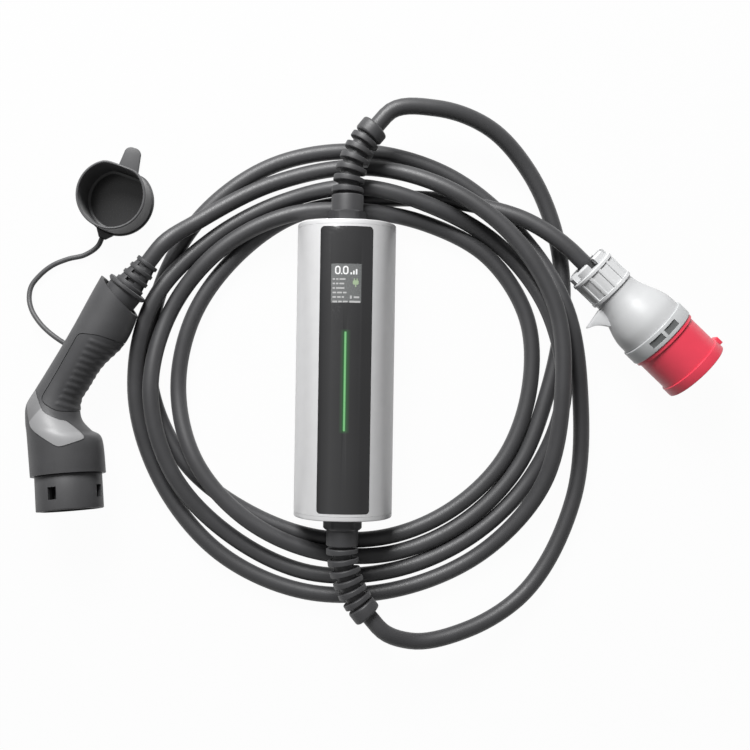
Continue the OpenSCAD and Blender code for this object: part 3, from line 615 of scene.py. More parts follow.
BOX_W, BOX_L, BOX_H = 85, 250, 65
BELT_Z = 18
BACK_R = 14
FRONT_POWER = 2.3
SLEEVE_WALL = 2.4
END_PLATE_T = 3
GASKET_T = 0.8
SLEEVE_L = BOX_L - 2 * (END_PLATE_T + GASKET_T)
PANEL_W, PANEL_L, PANEL_R = 43.5, SLEEVE_L - 4.8, 3
DISPLAY_W, DISPLAY_L, DISPLAY_Y = 25, 32, PANEL_L / 2 - 47
LIGHT_W, LIGHT_L, LIGHT_Y = 2.4, 82, DISPLAY_Y - 81
FIT = 0.1
SEAM = 0.04
LIP_T = 0.5
SLEEVE_EASE, PANEL_EASE, END_ROUND = 0.25, 0.3, 0.9
ALONG_BOX = Vector((0, 1, 0))
RELIEF_D = 27
RELIEF_BORE_R = RELIEF_D / 2 + FIT


def box_section(inset, step=2):
    """The box's outline square to its length, brought in by an inset, as X and Z."""
    w, r, rise, p = BOX_W / 2 - inset, BACK_R - inset, BOX_H - inset - BELT_Z, 2 / FRONT_POWER
    right = [(w - r + r * cosd(t), BACK_R + r * sind(t)) for t in range(-90, 1, 9)]
    front = [(w * math.copysign(abs(cosd(t)) ** p, cosd(t)), BELT_Z + rise * sind(t) ** p)
             for t in range(step, 180, step)]
    left = [(-x, z) for x, z in reversed(right)]
    return right + front + left


def section_ring(inset, y):
    return [(x, y, z) for x, z in box_section(inset)]


def shell(name, outer, inner, half, chamfer=0.0):
    """The box's wall between two insets, with its outer rims eased by a chamfer."""
    rings = [section_ring(outer + chamfer, -half), section_ring(outer, -half + chamfer),
             section_ring(outer, half - chamfer), section_ring(outer + chamfer, half),
             section_ring(inner, half), section_ring(inner, -half)]
    if chamfer == 0:
        del rings[1:3]
    return loft(name, rings, closed=True)


def above_front(name, outline):
    return prism(name, outline, BOX_H / 2, BOX_H + 5)


def add_sleeve():
    window = above_front("window", rounded_outline(PANEL_W + 2 * FIT, PANEL_L + 2 * FIT, PANEL_R + FIT))
    mesh = carved(shell("sleeve", 0, SLEEVE_WALL, SLEEVE_L / 2, SLEEVE_EASE), window)
    finish_piece(mesh, "sleeve_skin", SILVER, ["housing_sleeve"])


def add_panel():
    slab = shell("panel", 0, SLEEVE_WALL, SLEEVE_L / 2)
    edge = above_front("edge", rounded_outline(PANEL_W, PANEL_L, PANEL_R))
    mesh = carved(slab, edge, operation="INTERSECT")
    openings = [rounded_outline(DISPLAY_W + 2 * FIT, DISPLAY_L + 2 * FIT, 0.6, (0, DISPLAY_Y)),
                rounded_outline(LIGHT_W + 2 * FIT, LIGHT_L + 2 * FIT, LIGHT_W / 2, (0, LIGHT_Y))]
    mesh = carved(mesh, *[above_front("opening", o) for o in openings])
    add_skin(bevelled(mesh, PANEL_EASE), "front_panel", BLACK_GLOSS)


def add_front_insert(node, outline, material):
    slab = shell(node + "_skin", FIT, SLEEVE_WALL, SLEEVE_L / 2)
    mesh = carved(slab, above_front("edge", outline), operation="INTERSECT")
    add_skin(mesh, node, material)


def add_end_plate(side):
    name = ("top" if side > 0 else "bottom") + "_end_plate"
    outer = side * BOX_L / 2
    lip = outer - side * (END_PLATE_T + GASKET_T - SEAM)
    rings = [section_ring(LIP_T, outer - side * END_PLATE_T), section_ring(LIP_T, lip), section_ring(0, lip)]
    for a in range(0, 91, 15):
        rings.append(section_ring(END_ROUND * (1 - cosd(a)), outer - side * END_ROUND * (1 - sind(a))))
    hole = turned("hole", rod(-20, 20, RELIEF_BORE_R), Vector((0, outer, GLAND_Z)), ALONG_BOX)
    add_skin(carved(loft(name, rings), hole), name, SILVER)


add_sleeve()
add_panel()
add_end_plate(1)
add_end_plate(-1)


# Cable glands and strain reliefs

GLAND_NUT_W, GLAND_NUT_L, GLAND_NUT_EASE = 30, 9, 1.4
GLAND_NUT_BLANK = 1.09
RELIEF_END_D = 25
RELIEF_CORE_R = 8.6
RELIEF_RIBS = 6
RIB_T, RIB_ROUND = 4.6, 0.8
COLLAR_L, COLLAR_ROUND = 11, 2
RELIEF_SIDES = 64


def on_relief(side, reach):
    """Place and direction at a distance along a strain relief from the end plate's outer face."""
    straight = RELIEF_START - END_Y
    if reach <= straight:
        return Vector((0, side * (END_Y + reach), GLAND_Z)), Vector((0, side, 0))
    turn = (reach - straight) / RELIEF_BEND_R
    ahead = side * (RELIEF_START + RELIEF_BEND_R * math.sin(turn))
    place = Vector((RELIEF_BEND_R * (1 - math.cos(turn)), ahead, GLAND_Z))
    return place, Vector((math.sin(turn), side * math.cos(turn), 0))


def add_relief(side, name):
    straight = RELIEF_START - END_Y
    end = straight + RELIEF_BEND_R * math.radians(RELIEF_BEND_DEG)
    pitch = (end - COLLAR_L - straight) / RELIEF_RIBS
    profile = [(-END_PLATE_T, RELIEF_D / 2)] + arc((straight - 1, RELIEF_D / 2 - 1), 1, 90, 0, 4)
    profile.append((straight, RELIEF_CORE_R))
    for i in range(RELIEF_RIBS):
        middle = straight + (i + 0.5) * pitch
        radius = (RELIEF_D + (RELIEF_END_D - RELIEF_D) * i / RELIEF_RIBS) / 2
        profile += rib(middle - RIB_T / 2, middle + RIB_T / 2, RELIEF_CORE_R, radius, RIB_ROUND, 5)
    profile += rib(end - COLLAR_L, end, RELIEF_CORE_R, RELIEF_END_D / 2, COLLAR_ROUND, 5)
    rings = []
    for reach, radius in profile:
        place, along = on_relief(side, reach)
        rings.append(circle(place, radius, UP.cross(along), UP, RELIEF_SIDES))
    add_skin(loft(name, rings), name, RELIEF)


def add_gland_nut(side, name):
    at, along = Vector((0, side * END_Y, GLAND_Z)), Vector((0, side, 0))
    hexagon = turned(name, rod(0, GLAND_NUT_L, GLAND_NUT_W / 2 / cosd(30)), at, along, sides=6)
    radius = GLAND_NUT_W * GLAND_NUT_BLANK / 2
    profile = rod(0, GLAND_NUT_L - GLAND_NUT_EASE, radius) + [(GLAND_NUT_L, radius - GLAND_NUT_EASE)]
    bore = turned("bore", rod(-1, GLAND_NUT_L + 1, RELIEF_BORE_R), at, along)
    mesh = carved(hexagon, turned("blank", profile, at, along), operation="INTERSECT")
    add_skin(carved(mesh, bore), name, GLAND)


add_relief(-1, "bottom_strain_relief")
add_relief(1, "top_strain_relief")
add_gland_nut(-1, "bottom_gland_nut")
add_gland_nut(1, "top_gland_nut")


# Vehicle connector

GRIP_W = 38
HANDLE_END_W = 46
# X, Y, lean, half width, half height and pitch of each section of the body, from the handle's end
STATIONS = (
    (41.5, 153.5, -49, HANDLE_END_W / 2, 21.5, 0),
    (27, 124.5, -31, HANDLE_END_W / 2 - 0.5, 21, 0),
    (10, 101, -25, GRIP_W / 2, 19.5, 0),
    (-2, 81, -19, GRIP_W / 2, 19.5, 0),
    (-9.5, 68, -15, GRIP_W / 2 + 0.5, 21, 0),
    (-13, 54, -14, CONNECTOR_D / 2 - 8, CONNECTOR_D / 2 - 7, 0),
    (-9, 42, -8, CONNECTOR_D / 2 - 4, CONNECTOR_D / 2 - 3, 0),
    (-3.5, 32, -2, CONNECTOR_D / 2 - 0.3, CONNECTOR_D / 2 - 0.3, 0),
    (0, 0, 90 + NOSE_HEADING, CONNECTOR_D / 2, CONNECTOR_D / 2, NOSE_PITCH))
ACCENT_PLAN = ((-26, 74), (-15, 54), (-2, 48), (2.5, 47.5), (20, 33), (3.5, 27), (-1, 26.3),
               (-22, 38), (-26.5, 42), (-32.5, 61))
GRIP_PLAN = ((11.5, 120.5), (28, 119), (60, 108), (60, 62), (14, 55), (-4.5, 55.5), (-15, 61.5), (-18, 66))
CREASE = (Vector((-30.5, 42.1)), Vector((-22.7, 50.8)))
# Painted shade: how dark the accent's far facet is painted, as a share of the accent's colour
PAINTED_FACET_SHADE = 0.62
INLAY_DEPTH = 1.6
GRIP_GROOVE = 0.6
ACCENT_PROUD = 0.6
SEAT = 0.2
GRIP_RIBS = 11
GRIP_RIB_FROM, GRIP_RIB_TO = Vector((21, 115)), Vector((-5, 62))
GRIP_RIB_PROUD = 0.5
GRIP_RIB_HEADING = -21
END_RIM_T = 3
END_RECESS = 0.2
BODY_SIDES = 96
BODY_STEPS = 12


def smooth_step(low, high, value):
    u = min(max((value - low) / (high - low), 0), 1)
    return u * u * (3 - 2 * u)


def body_rings(grow, steps=BODY_STEPS):
    """Rings of the connector's body, grown by what a function gives for a place in plan."""
    return [station_ring(station, grow) for station in catmull([Vector(s) for s in STATIONS], steps)]


def station_ring(station, grow):
    x, y, lean, half_w, half_h, pitch = station
    middle = CONNECTOR_AT + Vector((x, y, 0))
    across = heading(lean)
    lift = cosd(pitch) * UP + sind(pitch) * heading(lean + 90)
    ring = []
    for j in range(BODY_SIDES):
        c, s = math.cos(2 * math.pi * j / BODY_SIDES), math.sin(2 * math.pi * j / BODY_SIDES)
        more = grow(Vector((x, y)) + half_w * c * across.xy)
        ring.append(middle + (half_w + more) * c * across + (half_h + more) * s * lift)
    return ring


def body_form(name, grow):
    return loft(name, body_rings(lambda place: grow))


def eased(outline, reach, steps=5):
    """An outline with each corner eased by a curve that starts a reach before it."""
    result = []
    n = len(outline)
    for i in range(n):
        corner, before, after = (Vector(outline[k % n]) for k in (i, i - 1, i + 1))
        start = corner + (before - corner).normalized() * min(reach, (before - corner).length / 2.2)
        end = corner + (after - corner).normalized() * min(reach, (after - corner).length / 2.2)
        for k in range(steps + 1):
            u = k / steps
            result.append((1 - u) ** 2 * start + 2 * u * (1 - u) * corner + u ** 2 * end)
    return result


def inset(outline, depth):
    """An outline brought in by a depth, or let out where the depth is negative."""
    n = len(outline)
    turn = sum(a[0] * b[1] - b[0] * a[1] for a, b in zip(outline, outline[1:] + outline[:1]))
    result = []
    for i in range(n):
        before, here, after = outline[i - 1], outline[i], outline[(i + 1) % n]
        along = (Vector(after) - Vector(before)).normalized()
        result.append(Vector(here) + depth * math.copysign(1, turn) * Vector((-along.y, along.x)))
    return result


def plan_prism(name, plan, depth):
    """A plan shape on the connector, eased and inset, and drawn out through it."""
    outline = [p + CONNECTOR_AT.xy for p in inset(eased(plan, 4), depth)]
    return prism(name, outline, -CONNECTOR_D, 2 * CONNECTOR_D)


def add_connector_body():
    recesses = [carved(plan_prism("recess", plan, -gap), body_form("floor", -INLAY_DEPTH))
                for plan, gap in ((ACCENT_PLAN, SEAT), (GRIP_PLAN, GRIP_GROOVE))]
    inwards = heading(STATIONS[0][2] - 90)
    rim = station_ring(Vector(STATIONS[0]), lambda place: -END_RIM_T)
    floor = station_ring(Vector(STATIONS[0]).lerp(Vector(STATIONS[1]), END_RECESS), lambda place: -END_RIM_T)
    end_recess = loft("end_recess", [[p - inwards for p in rim], rim, floor])
    mesh = carved(body_form("connector", 0), end_recess, *recesses)
    profile = [(-ANCHOR_L, ANCHOR_D / 2)]
    profile += arc((-ANCHOR_ROUND, ANCHOR_D / 2 - ANCHOR_ROUND), ANCHOR_ROUND, 90, 0, 4)
    anchor = turned("anchor", profile, ANCHOR_AT, heading(ANCHOR_HEADING), sides=48)
    mesh = carved(mesh, anchor, operation="UNION")
    add_skin(mesh, "connector_body", CONNECTOR, SMOOTH_CARVED_DEG)


def add_painted_facet_shade(material):
    """The accent's far facet is painted a shade darker than the one next to it, past a crease: painted shade,
    for the facet that turns from the light.
    """
    tree = material.node_tree
    along = (CREASE[1] - CREASE[0]).normalized()
    square = Vector((-along.y, along.x, 0))
    past = distance_share(tree, square, square.dot(CONNECTOR_AT + CREASE[0].to_3d()), 1, signed=True)
    scale_input(material, "Base Color", ramp(tree, past, 0, 1, 0, 0.8), PAINTED_FACET_SHADE)


def add_accents():
    edge = plan_prism("edge", ACCENT_PLAN, 0)
    mesh = carved(body_form("accents", ACCENT_PROUD), edge, operation="INTERSECT")
    mesh = carved(mesh, body_form("floor", SEAT - INLAY_DEPTH))
    add_skin(mesh, "connector_accents", ACCENT, SMOOTH_CARVED_DEG)


def grip_rise(place):
    """Height of the grip's cross ribs at a place in plan, where they start on a line and run to its right."""
    run = GRIP_RIB_TO - GRIP_RIB_FROM
    length = run.length
    from_start = place - GRIP_RIB_FROM
    beside = (run.y * from_start.x - run.x * from_start.y) / length
    rib_way = heading(GRIP_RIB_HEADING).xy
    reach = -beside / (run.x * rib_way.y - run.y * rib_way.x) * length
    station = (from_start - reach * rib_way).dot(run) / length ** 2 * (GRIP_RIBS - 1)
    if not -0.5 <= station <= GRIP_RIBS - 0.5:
        return 0
    return GRIP_RIB_PROUD * math.cos(math.pi * station) ** 2 * smooth_step(-0.8, 0.8, reach)


def add_grip():
    mesh = loft("grip", body_rings(grip_rise, steps=48))
    mesh = carved(mesh, plan_prism("edge", GRIP_PLAN, 0), operation="INTERSECT")
    mesh = carved(mesh, body_form("floor", SEAT - INLAY_DEPTH))
    add_skin(mesh, "connector_grip", GRIP, SMOOTH_GRIP_DEG)


add_connector_body()
add_painted_facet_shade(ACCENT)
add_accents()
add_grip()


# Nose, boot and what they stand on

NOSE_L, NOSE_WALL, NOSE_FLAT = 30, 3, 2.5
COLLAR_BASE_T = 4
WINDOW = (10.5, 7.6)
WINDOW_BACK = 9
WINDOW_TURNS = (104, 14, -76)
NOSE_ROUND = 0.9
ALONG_NOSE = cosd(NOSE_PITCH) * heading(NOSE_HEADING) + sind(NOSE_PITCH) * UP
BOOT_FLANGE_D, BOOT_FLANGE_T, BOOT_FLANGE_ROUND = 36, 4, 0.8
BOOT_STEM_D = 31
BOOT_L = BOOT_TIP - BOOT_FLANGE_T
BOOT_BASE_D, BOOT_TIP_D = 26, 20
BOOT_RINGS = 3
BOOT_RING_T, BOOT_RING_DEPTH, BOOT_RING_ROUND = 3.4, 1.2, 0.6
BOOT_SLOT = (8, 3.2)
BOOT_SLOT_R = 7.4


def flat_sided(name, low, high, radius):
    """A round bar along the nose with one side cut flat."""
    bar = turned(name, rod(low, high, radius), CONNECTOR_AT, ALONG_NOSE, sides=128)
    side = block("side", CONNECTOR_AT, ALONG_NOSE, 0, (low - 1, -CONNECTOR_D, -CONNECTOR_D),
                 (high + 1, NOSE_FLAT - radius, CONNECTOR_D))
    return carved(bar, side)


def add_nose():
    outer = bevelled(flat_sided("nose", 0, NOSE_L, NOSE_D / 2), NOSE_ROUND, 50, 3)
    inner = flat_sided("mouth", COLLAR_BASE_T, NOSE_L + 5, NOSE_D / 2 - NOSE_WALL)
    front = NOSE_L - WINDOW_BACK
    low, high = (front - WINDOW[0], -WINDOW[1] / 2, NOSE_D / 4), (front, WINDOW[1] / 2, NOSE_D)
    windows = [block("window", CONNECTOR_AT, ALONG_NOSE, turn, low, high) for turn in WINDOW_TURNS]
    add_skin(carved(outer, inner, *windows), "connector_nose", CONNECTOR)


def add_boot():
    along = heading(BOOT_HEADING)
    rim, radius = BOOT_FLANGE_ROUND, BOOT_FLANGE_D / 2
    flange = rod(-20, 0, BOOT_STEM_D / 2) + [(0, radius - 1.5), (1.4, radius)]
    flange += arc((BOOT_FLANGE_T - rim, radius - rim), rim, 90, 0, 4)
    add_skin(turned("flange", flange, BOOT_AT, along), "boot_flange", GRIP)
    profile = []
    step = (BOOT_L - BOOT_RING_T) / BOOT_RINGS
    for i in range(BOOT_RINGS + 1):
        low = BOOT_FLANGE_T + i * step
        radius = (BOOT_BASE_D + (BOOT_TIP_D - BOOT_BASE_D) * i / BOOT_RINGS) / 2
        profile += rib(low, low + BOOT_RING_T, radius - BOOT_RING_DEPTH, radius, BOOT_RING_ROUND, 3)
    slots = []
    half_w, half_l = BOOT_SLOT[0] / 2, BOOT_SLOT[1] / 2
    for i in range(BOOT_RINGS):
        middle = BOOT_FLANGE_T + BOOT_RING_T + (i + 0.5) * step - BOOT_RING_T / 2
        low, high = (middle - half_l, -half_w, BOOT_SLOT_R), (middle + half_l, half_w, 20)
        slots += [block("slot", BOOT_AT, along, turn, low, high) for turn in range(0, 360, 90)]
    mesh = carved(turned("boot", profile, BOOT_AT, along), joined("slots", slots))
    add_skin(mesh, "cable_boot", GRIP)


add_nose()
add_boot()


# Dust cap

CAP_H, CAP_BASE_T = 36, 3
CAP_FLAT, CAP_FLAT_HEADING = 3, 71
CAP_LIP = (2.4, 0.6)
TAB_HEADING, TAB_ROOT, TAB_REACH, TAB_ROOT_W, TAB_TIP_W, TAB_TIP_R = 75, 24, 49, 20, 15, 6
LUG_ROOT_W, LUG_TIP_W = 20, 6
PLATE_ROUND = 0.7
CAP_SIDES = 120
# Painted shade on the floor inside the cap, as a share of the rubber's colour, and the floor's share of its
# roughness
CAP_FLOOR_SHADE = 0.25
CAP_FLOOR_ROUGH = 0.45


def cap_ring(radius, height):
    """A circle round the cap's middle with one flat side, at a height."""
    ring = []
    for j in range(CAP_SIDES):
        turn = 360 * j / CAP_SIDES
        lean = cosd(turn - CAP_FLAT_HEADING)
        flat = (radius - CAP_FLAT) / lean if lean > 0.3 else 2 * radius
        # The smaller of the two, with a smooth change from one to the other
        reach = -math.log(math.exp(-radius) + math.exp(-flat))
        ring.append(CAP_AT + reach * heading(turn) + height * UP)
    return ring


def from_cap(way, outline):
    """Points along and across a heading from the cap's middle, in plan."""
    return [(CAP_AT + x * heading(way) + y * heading(way + 90)).xy for x, y in outline]


def add_dust_cap():
    outer, inner, base = CAP_D / 2, CAP_BORE_D / 2, CAP_BASE_D / 2
    lip, under_lip = outer + CAP_LIP[1], CAP_H - CAP_LIP[0]
    rim = (lip - inner) / 2
    profile = [(base - 0.8, 0), (base, 0.8), (base, CAP_BASE_T - 0.6), (base - 0.6, CAP_BASE_T),
               (outer + 0.3, CAP_BASE_T), (outer, CAP_BASE_T + 0.5), (outer, under_lip - 0.4),
               (lip, under_lip)]
    profile += arc((inner + rim, CAP_H - rim), rim, 0, 180, 9)
    profile += [(inner, CAP_BASE_T + 2), (inner - 0.6, CAP_BASE_T + 0.6), (inner - 2, CAP_BASE_T),
                (inner - 3, CAP_BASE_T)]
    cup = loft("cup", [cap_ring(radius, height) for radius, height in profile])
    upper = arc((TAB_REACH - TAB_TIP_R, TAB_TIP_W / 2 - TAB_TIP_R), TAB_TIP_R, 0, 90, 9)
    upper.append((TAB_ROOT, TAB_ROOT_W / 2))
    tab = upper + [(x, -y) for x, y in reversed(upper)]
    web = [(inner, -LUG_ROOT_W / 2), (LUG_REACH, -LUG_TIP_W / 2),
           (LUG_REACH, LUG_TIP_W / 2), (inner, LUG_ROOT_W / 2)]
    plates = [bevelled(prism("plate", from_cap(way, outline), 0, CAP_BASE_T), PLATE_ROUND, segments=3)
              for way, outline in ((TAB_HEADING, tab), (LUG_HEADING, web))]
    return add_skin(joined("dust_cap", [cup, *plates]), "dust_cap", CAP)


def add_cap_floor_shade(material):
    """The floor inside the cap is painted darker than its wall and rim, as painted shade inside the cup, and
    is smoother.
    """
    tree = material.node_tree
    places = {0: coordinates(tree, "Object", (1, 1, 0)), 1: CAP_AT * MM}
    off_axis = add_node(tree, "ShaderNodeVectorMath", places, "DISTANCE").outputs["Value"]
    on_floor = ramp(tree, maths(tree, "DIVIDE", off_axis, CAP_BORE_D / 2 * MM), 1, 0, 0.88, 0.98)
    scale_input(material, "Base Color", on_floor, CAP_FLOOR_SHADE)
    scale_input(material, "Roughness", on_floor, CAP_FLOOR_ROUGH)


dust_cap = add_dust_cap()
add_cap_floor_shade(CAP)


# Supply plug

CLAW_L, CLAW_D, CLAWS, CLAW_GAP = 7, 38, 6, 7
NUT_L, NUT_D, NUT_RIBS, NUT_RIB_W, NUT_PANEL_DEPTH, NUT_LIP = 26, 41.5, 12, 3, 1.3, 3
PLUG_BODY_L, PLUG_WAIST_D = 46, 38
RING_L, RING_D = 12.5, 62
SHROUD_L, SHROUD_D, SHROUD_WALL = 41, 57, 2.8
SHROUD_FLANGE_T, SHROUD_FLOOR_T = 3, 4
# Length and rise of the shroud's rim band, and length, width and rise of its key
RIM_BAND = (9, 1.2)
KEY = (7, 11, 4)
KEY_ROUND, FIN_ROUND, RING_ROUND = 0.6, 1.2, 0.8
RING_WINDOW = (13.5, 6)
RING_WINDOW_DEPTH = 1.5
RING_WINDOW_TURNS = (-9.5, 21)
# Share of the body's length, and what its radius has grown by there
BODY_SWELL = ((0, 0), (0.16, 0.8), (0.32, 3), (0.48, 6), (0.64, 8.6), (0.8, 10.2), (1, 10.5))
FIN_T = 9
FIN = ((3, 18), (4.5, 27), (6.5, 39.5), (10, 32), (14, 27.5), (19, 24.5), (24, 21), (20, 18))
SEAL_T = 3
BODY_FROM = CLAW_L + NUT_L
RING_FROM = BODY_FROM + PLUG_BODY_L
SHROUD_FROM = RING_FROM + RING_L
ALONG_PLUG = heading(PLUG_HEADING)


def plug_form(name, profile, sides=96):
    return turned(name, profile, PLUG_AT, ALONG_PLUG, sides)


def plug_block(name, turn, low, high):
    return block(name, PLUG_AT, ALONG_PLUG, turn, low, high)


def add_plug_nut():
    end, claw, lip, panel = BODY_FROM, CLAW_D / 2, NUT_D / 2, NUT_D / 2 - NUT_PANEL_DEPTH
    profile = [(0, claw - 1.5), (1.5, claw), (CLAW_L, claw), (CLAW_L, lip - 0.8), (CLAW_L + 0.8, lip),
               (CLAW_L + NUT_LIP, lip), (CLAW_L + NUT_LIP + 0.4, panel), (end - NUT_LIP - 0.4, panel),
               (end - NUT_LIP, lip), (end - 0.6, lip), (end, lip - 0.6)]
    low, high = (CLAW_L + NUT_LIP / 2, -NUT_RIB_W / 2, claw), (end - NUT_LIP / 2, NUT_RIB_W / 2, lip - 0.3)
    ribs = [bevelled(plug_block("rib", 360 * i / NUT_RIBS, low, high), 0.4) for i in range(NUT_RIBS)]
    mesh = carved(plug_form("nut", profile), *ribs, operation="UNION")
    low, high = (-1, -CLAW_GAP / 2, 0), (CLAW_L - 0.5, CLAW_GAP / 2, CLAW_D)
    gaps = [plug_block("gap", 360 * i / CLAWS, low, high) for i in range(CLAWS)]
    mesh = carved(mesh, plug_form("bore", rod(-1, end + 1, CABLE_D / 2 + SEAL_T + FIT)), *gaps)
    add_skin(mesh, "plug_nut", PLUG_WHITE, SMOOTH_CARVED_DEG)


def add_plug_body():
    swell = [Vector((BODY_FROM + share * PLUG_BODY_L, PLUG_WAIST_D / 2 + more))
             for share, more in BODY_SWELL]
    mesh = plug_form("plug_body", catmull(swell, 6))
    side, lift = axes_of(ALONG_PLUG)
    ridge = eased(FIN, 3)
    fin = loft("fin", [[PLUG_AT + (BODY_FROM + p.x) * ALONG_PLUG - p.y * side + z * lift for p in ridge]
                       for z in (-FIN_T / 2, FIN_T / 2)])
    mesh = carved(mesh, bevelled(fin, FIN_ROUND, segments=3), operation="UNION")
    add_skin(mesh, "plug_body", PLUG_GREY, SMOOTH_CARVED_DEG)


def ring_window(turn, gap, low, high):
    """A block in a window of the locking ring, with a gap round it, between two distances from the axis."""
    middle = RING_FROM + RING_L / 2
    half_l, half_w = RING_WINDOW[1] / 2 - gap, RING_WINDOW[0] / 2 - gap
    return plug_block("window", turn, (middle - half_l, -half_w, low), (middle + half_l, half_w, high))


def add_locking_ring():
    r = RING_D / 2
    mesh = plug_form("ring", rib(RING_FROM, RING_FROM + RING_L, r - 1.2, r, RING_ROUND, 4), sides=160)
    at_floor = r - RING_WINDOW_DEPTH
    mesh = carved(mesh, *[ring_window(turn, 0, at_floor, r + 3) for turn in RING_WINDOW_TURNS])
    add_skin(mesh, "locking_ring", PLUG_RING, SMOOTH_CARVED_DEG)
    pads = [ring_window(turn, FIT, at_floor - 1, at_floor + 0.2) for turn in RING_WINDOW_TURNS]
    finish_piece(joined("pads", pads), "ring_window_pads", WINDOW_PAD, [])


def add_shroud():
    r, end = SHROUD_D / 2, SHROUD_FROM + SHROUD_L
    band_r = r + RIM_BAND[1]
    inner_r = r - SHROUD_WALL
    band_from = end - RIM_BAND[0]
    profile = [(SHROUD_FROM, RING_D / 2 - 1), (SHROUD_FROM + SHROUD_FLANGE_T, RING_D / 2 - 1),
               (SHROUD_FROM + SHROUD_FLANGE_T, r), (band_from, r), (band_from + 0.5, band_r)]
    profile += arc((end - 0.6, band_r - 0.6), 0.6, 90, 0, 3)
    profile += [(end, inner_r + 0.4), (end - 0.4, inner_r), (SHROUD_FROM + SHROUD_FLOOR_T, inner_r)]
    mesh = plug_form("shroud", profile, sides=160)
    low, high = (band_from, -KEY[1] / 2, r - 1), (band_from + KEY[0], KEY[1] / 2, r + KEY[2])
    key = bevelled(plug_block("key", -90, low, high), KEY_ROUND, segments=3)
    add_skin(carved(mesh, key, operation="UNION"), "plug_shroud", RED, SMOOTH_CARVED_DEG)


add_plug_nut()
add_plug_body()
add_locking_ring()
add_shroud()


# Display and light bar

# Reach and strength of the painted glow of the bar's green light on the panel
GLOW_REACH = 4.5
GLOW_STRENGTH = 0.16


def display_glass():
    """Grey liquid-crystal glass, a little lighter towards its lower end, under a clear coat."""
    material, tree, shader = new_material("display_glass")
    split = add_node(tree, "ShaderNodeSeparateXYZ", {0: coordinates(tree, "Object", (1, 20, 1))})
    tone = ramp(tree, split.outputs["Y"], (0.2, 0.205, 0.205), (0.14, 0.145, 0.145), 0.9, 1)
    speckle = noise(tree, coordinates(tree), 900)
    feed(tree, shader, {
        "Base Color": multiplied(tree, 0.25, tone, speckle),
        "Roughness": ramp(tree, speckle, 0.2, 0.32),
        "Coat Weight": 0.6})
    return material


def light_bar():
    """A lit green bar, brightest along its middle line."""
    material, tree, shader = new_material("light_bar")
    off_middle = distance_share(tree, (1, 0, 0), 0, LIGHT_W / 2)
    feed(tree, shader, {
        "Base Color": (0.01, 0.05, 0.02, 1),
        "Roughness": ramp(tree, noise(tree, coordinates(tree), 700), 0.25, 0.4),
        "Emission Color": ramp(tree, off_middle, (0.22, 0.52, 0.22), (0.01, 0.13, 0.02), 0.35, 0.9),
        "Emission Strength": 0.9})
    return material


def add_painted_bar_glow(material):
    """The panel's black glass picks up the bar's green light next to it, as a painted glow."""
    tree = material.node_tree
    across = ramp(tree, distance_share(tree, (1, 0, 0), 0, GLOW_REACH), 1, 0, 0.15, 1)
    along = ramp(tree, distance_share(tree, (0, 1, 0), LIGHT_Y, LIGHT_L / 2 + GLOW_REACH / 2), 1, 0, 0.95, 1)
    both = maths(tree, "MULTIPLY", across, along)
    feed(tree, shader_of(material), {
        "Emission Color": (0.05, 0.5, 0.09, 1),
        "Emission Strength": maths(tree, "MULTIPLY", both, GLOW_STRENGTH)})


def lit_mark(name, colour):
    """A mark on the display, with the display's own fine grain in its light."""
    material, tree, shader = new_material(name)
    grain = noise(tree, coordinates(tree), 1500)
    feed(tree, shader, {
        "Base Color": (*shade(colour, 0.2), 1),
        "Roughness": 0.3,
        "Emission Color": ramp(tree, grain, shade(colour, 0.9), shade(colour, 1.1)),
        "Emission Strength": 0.8})
    return material


def on_display(x, y, width, height, radius=0.3, steps=3):
    """A rounded bar on the display, by its middle, drawn through the panel."""
    return above_front("mark", rounded_outline(width, height, radius, (x, DISPLAY_Y + y), steps))


def add_marks(name, bars, material):
    slab = shell(name, FIT - 0.05, SLEEVE_WALL / 2, SLEEVE_L / 2)
    mesh = carved(slab, joined("bars", bars), operation="INTERSECT")
    finish_piece(mesh, name, material, [])


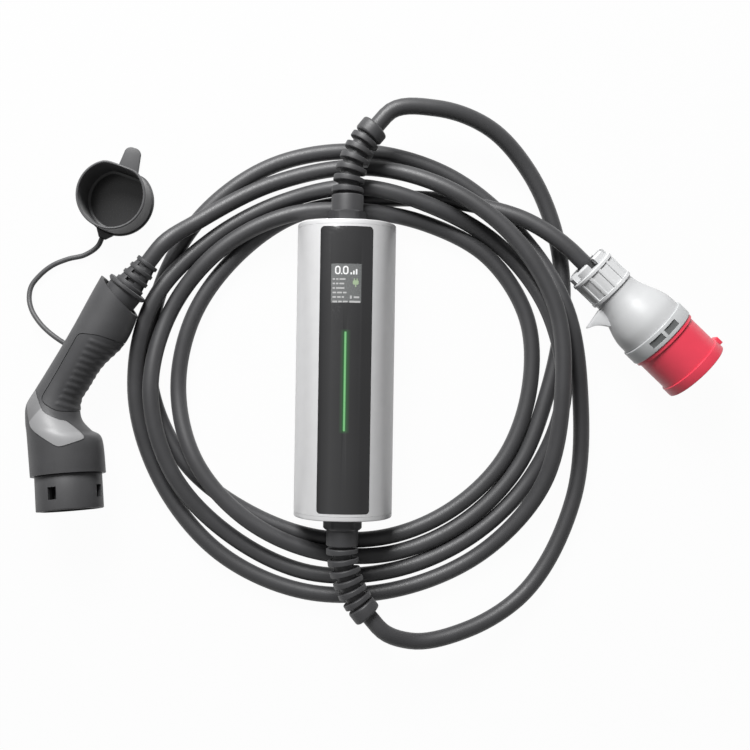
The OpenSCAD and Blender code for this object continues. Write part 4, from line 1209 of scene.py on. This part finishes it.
def add_display_marks():
    """A reading of nought, rising bars, rows of short bars as in a list, and a plug sign."""
    width, height, stroke = 4.6, 7, 1.15
    reading = [carved(on_display(x, 10.6, width, height, 2.2, 8),
                      on_display(x, 10.6, width - 2 * stroke, height - 2 * stroke, 1.1, 8))
               for x in (-7.1, -0.55)]
    reading.append(on_display(-3.85, 7.7, 1.1, 1.1))
    reading += [on_display(4 + 2.2 * i, 7.1 + rise / 2, 1.3, rise) for i, rise in enumerate((1.8, 3.2, 4.6))]
    add_marks("display_reading", reading, lit_mark("mark_bright", (0.9, 0.9, 0.9)))
    rows = []
    for row, dashes in enumerate(((2, 2, 5), (2, 2, 4), (2, 7), (3, 4, 3), (3, 3, 2), (4, 3, 4))):
        x = -11.2
        for dash in dashes:
            rows.append(on_display(x + dash / 2, 3.2 - 3.7 * row, dash, 1.3))
            x += dash + 0.8
    rows += [on_display(7.3, -15.3, 9, 1.5), on_display(4, -11.6, 1.6, 2.6), on_display(8.6, -11.6, 4.6, 1.5)]
    add_marks("display_rows", rows, lit_mark("mark_dim", (0.5, 0.5, 0.5)))
    sign = [on_display(7.8, 0.6, 4.8, 3.6, 1), on_display(6.7, 3.2, 0.9, 1.5), on_display(8.9, 3.2, 0.9, 1.5),
            on_display(7.8, -2.2, 1, 1.8)]
    add_marks("display_sign", sign, lit_mark("mark_green", (0.36, 0.46, 0.3)))


add_painted_bar_glow(BLACK_GLOSS)
add_display_marks()
display_edge = rounded_outline(DISPLAY_W, DISPLAY_L, 0.5, (0, DISPLAY_Y))
light_edge = rounded_outline(LIGHT_W, LIGHT_L, LIGHT_W / 2 - FIT, (0, LIGHT_Y))
add_front_insert("display", display_edge, display_glass())
add_front_insert("light_guide", light_edge, light_bar())


# Solids that are shown as they are

PLAIN = {"end_gaskets": SEAL, "end_screws": STEEL, "main_board": BOARD, "relays": COMPONENT,
         "current_sensor": COMPONENT, "terminal_blocks": TERMINAL, "power_module": COMPONENT,
         "contact_carrier": GLAND, "contacts": BRASS, "plug_pins": BRASS, "pin_carrier": GLAND,
         "cable_seal": SEAL}
for node, material in PLAIN.items():
    solid = bpy.data.objects[node]
    for place in solid.material_slots:
        place.material = material
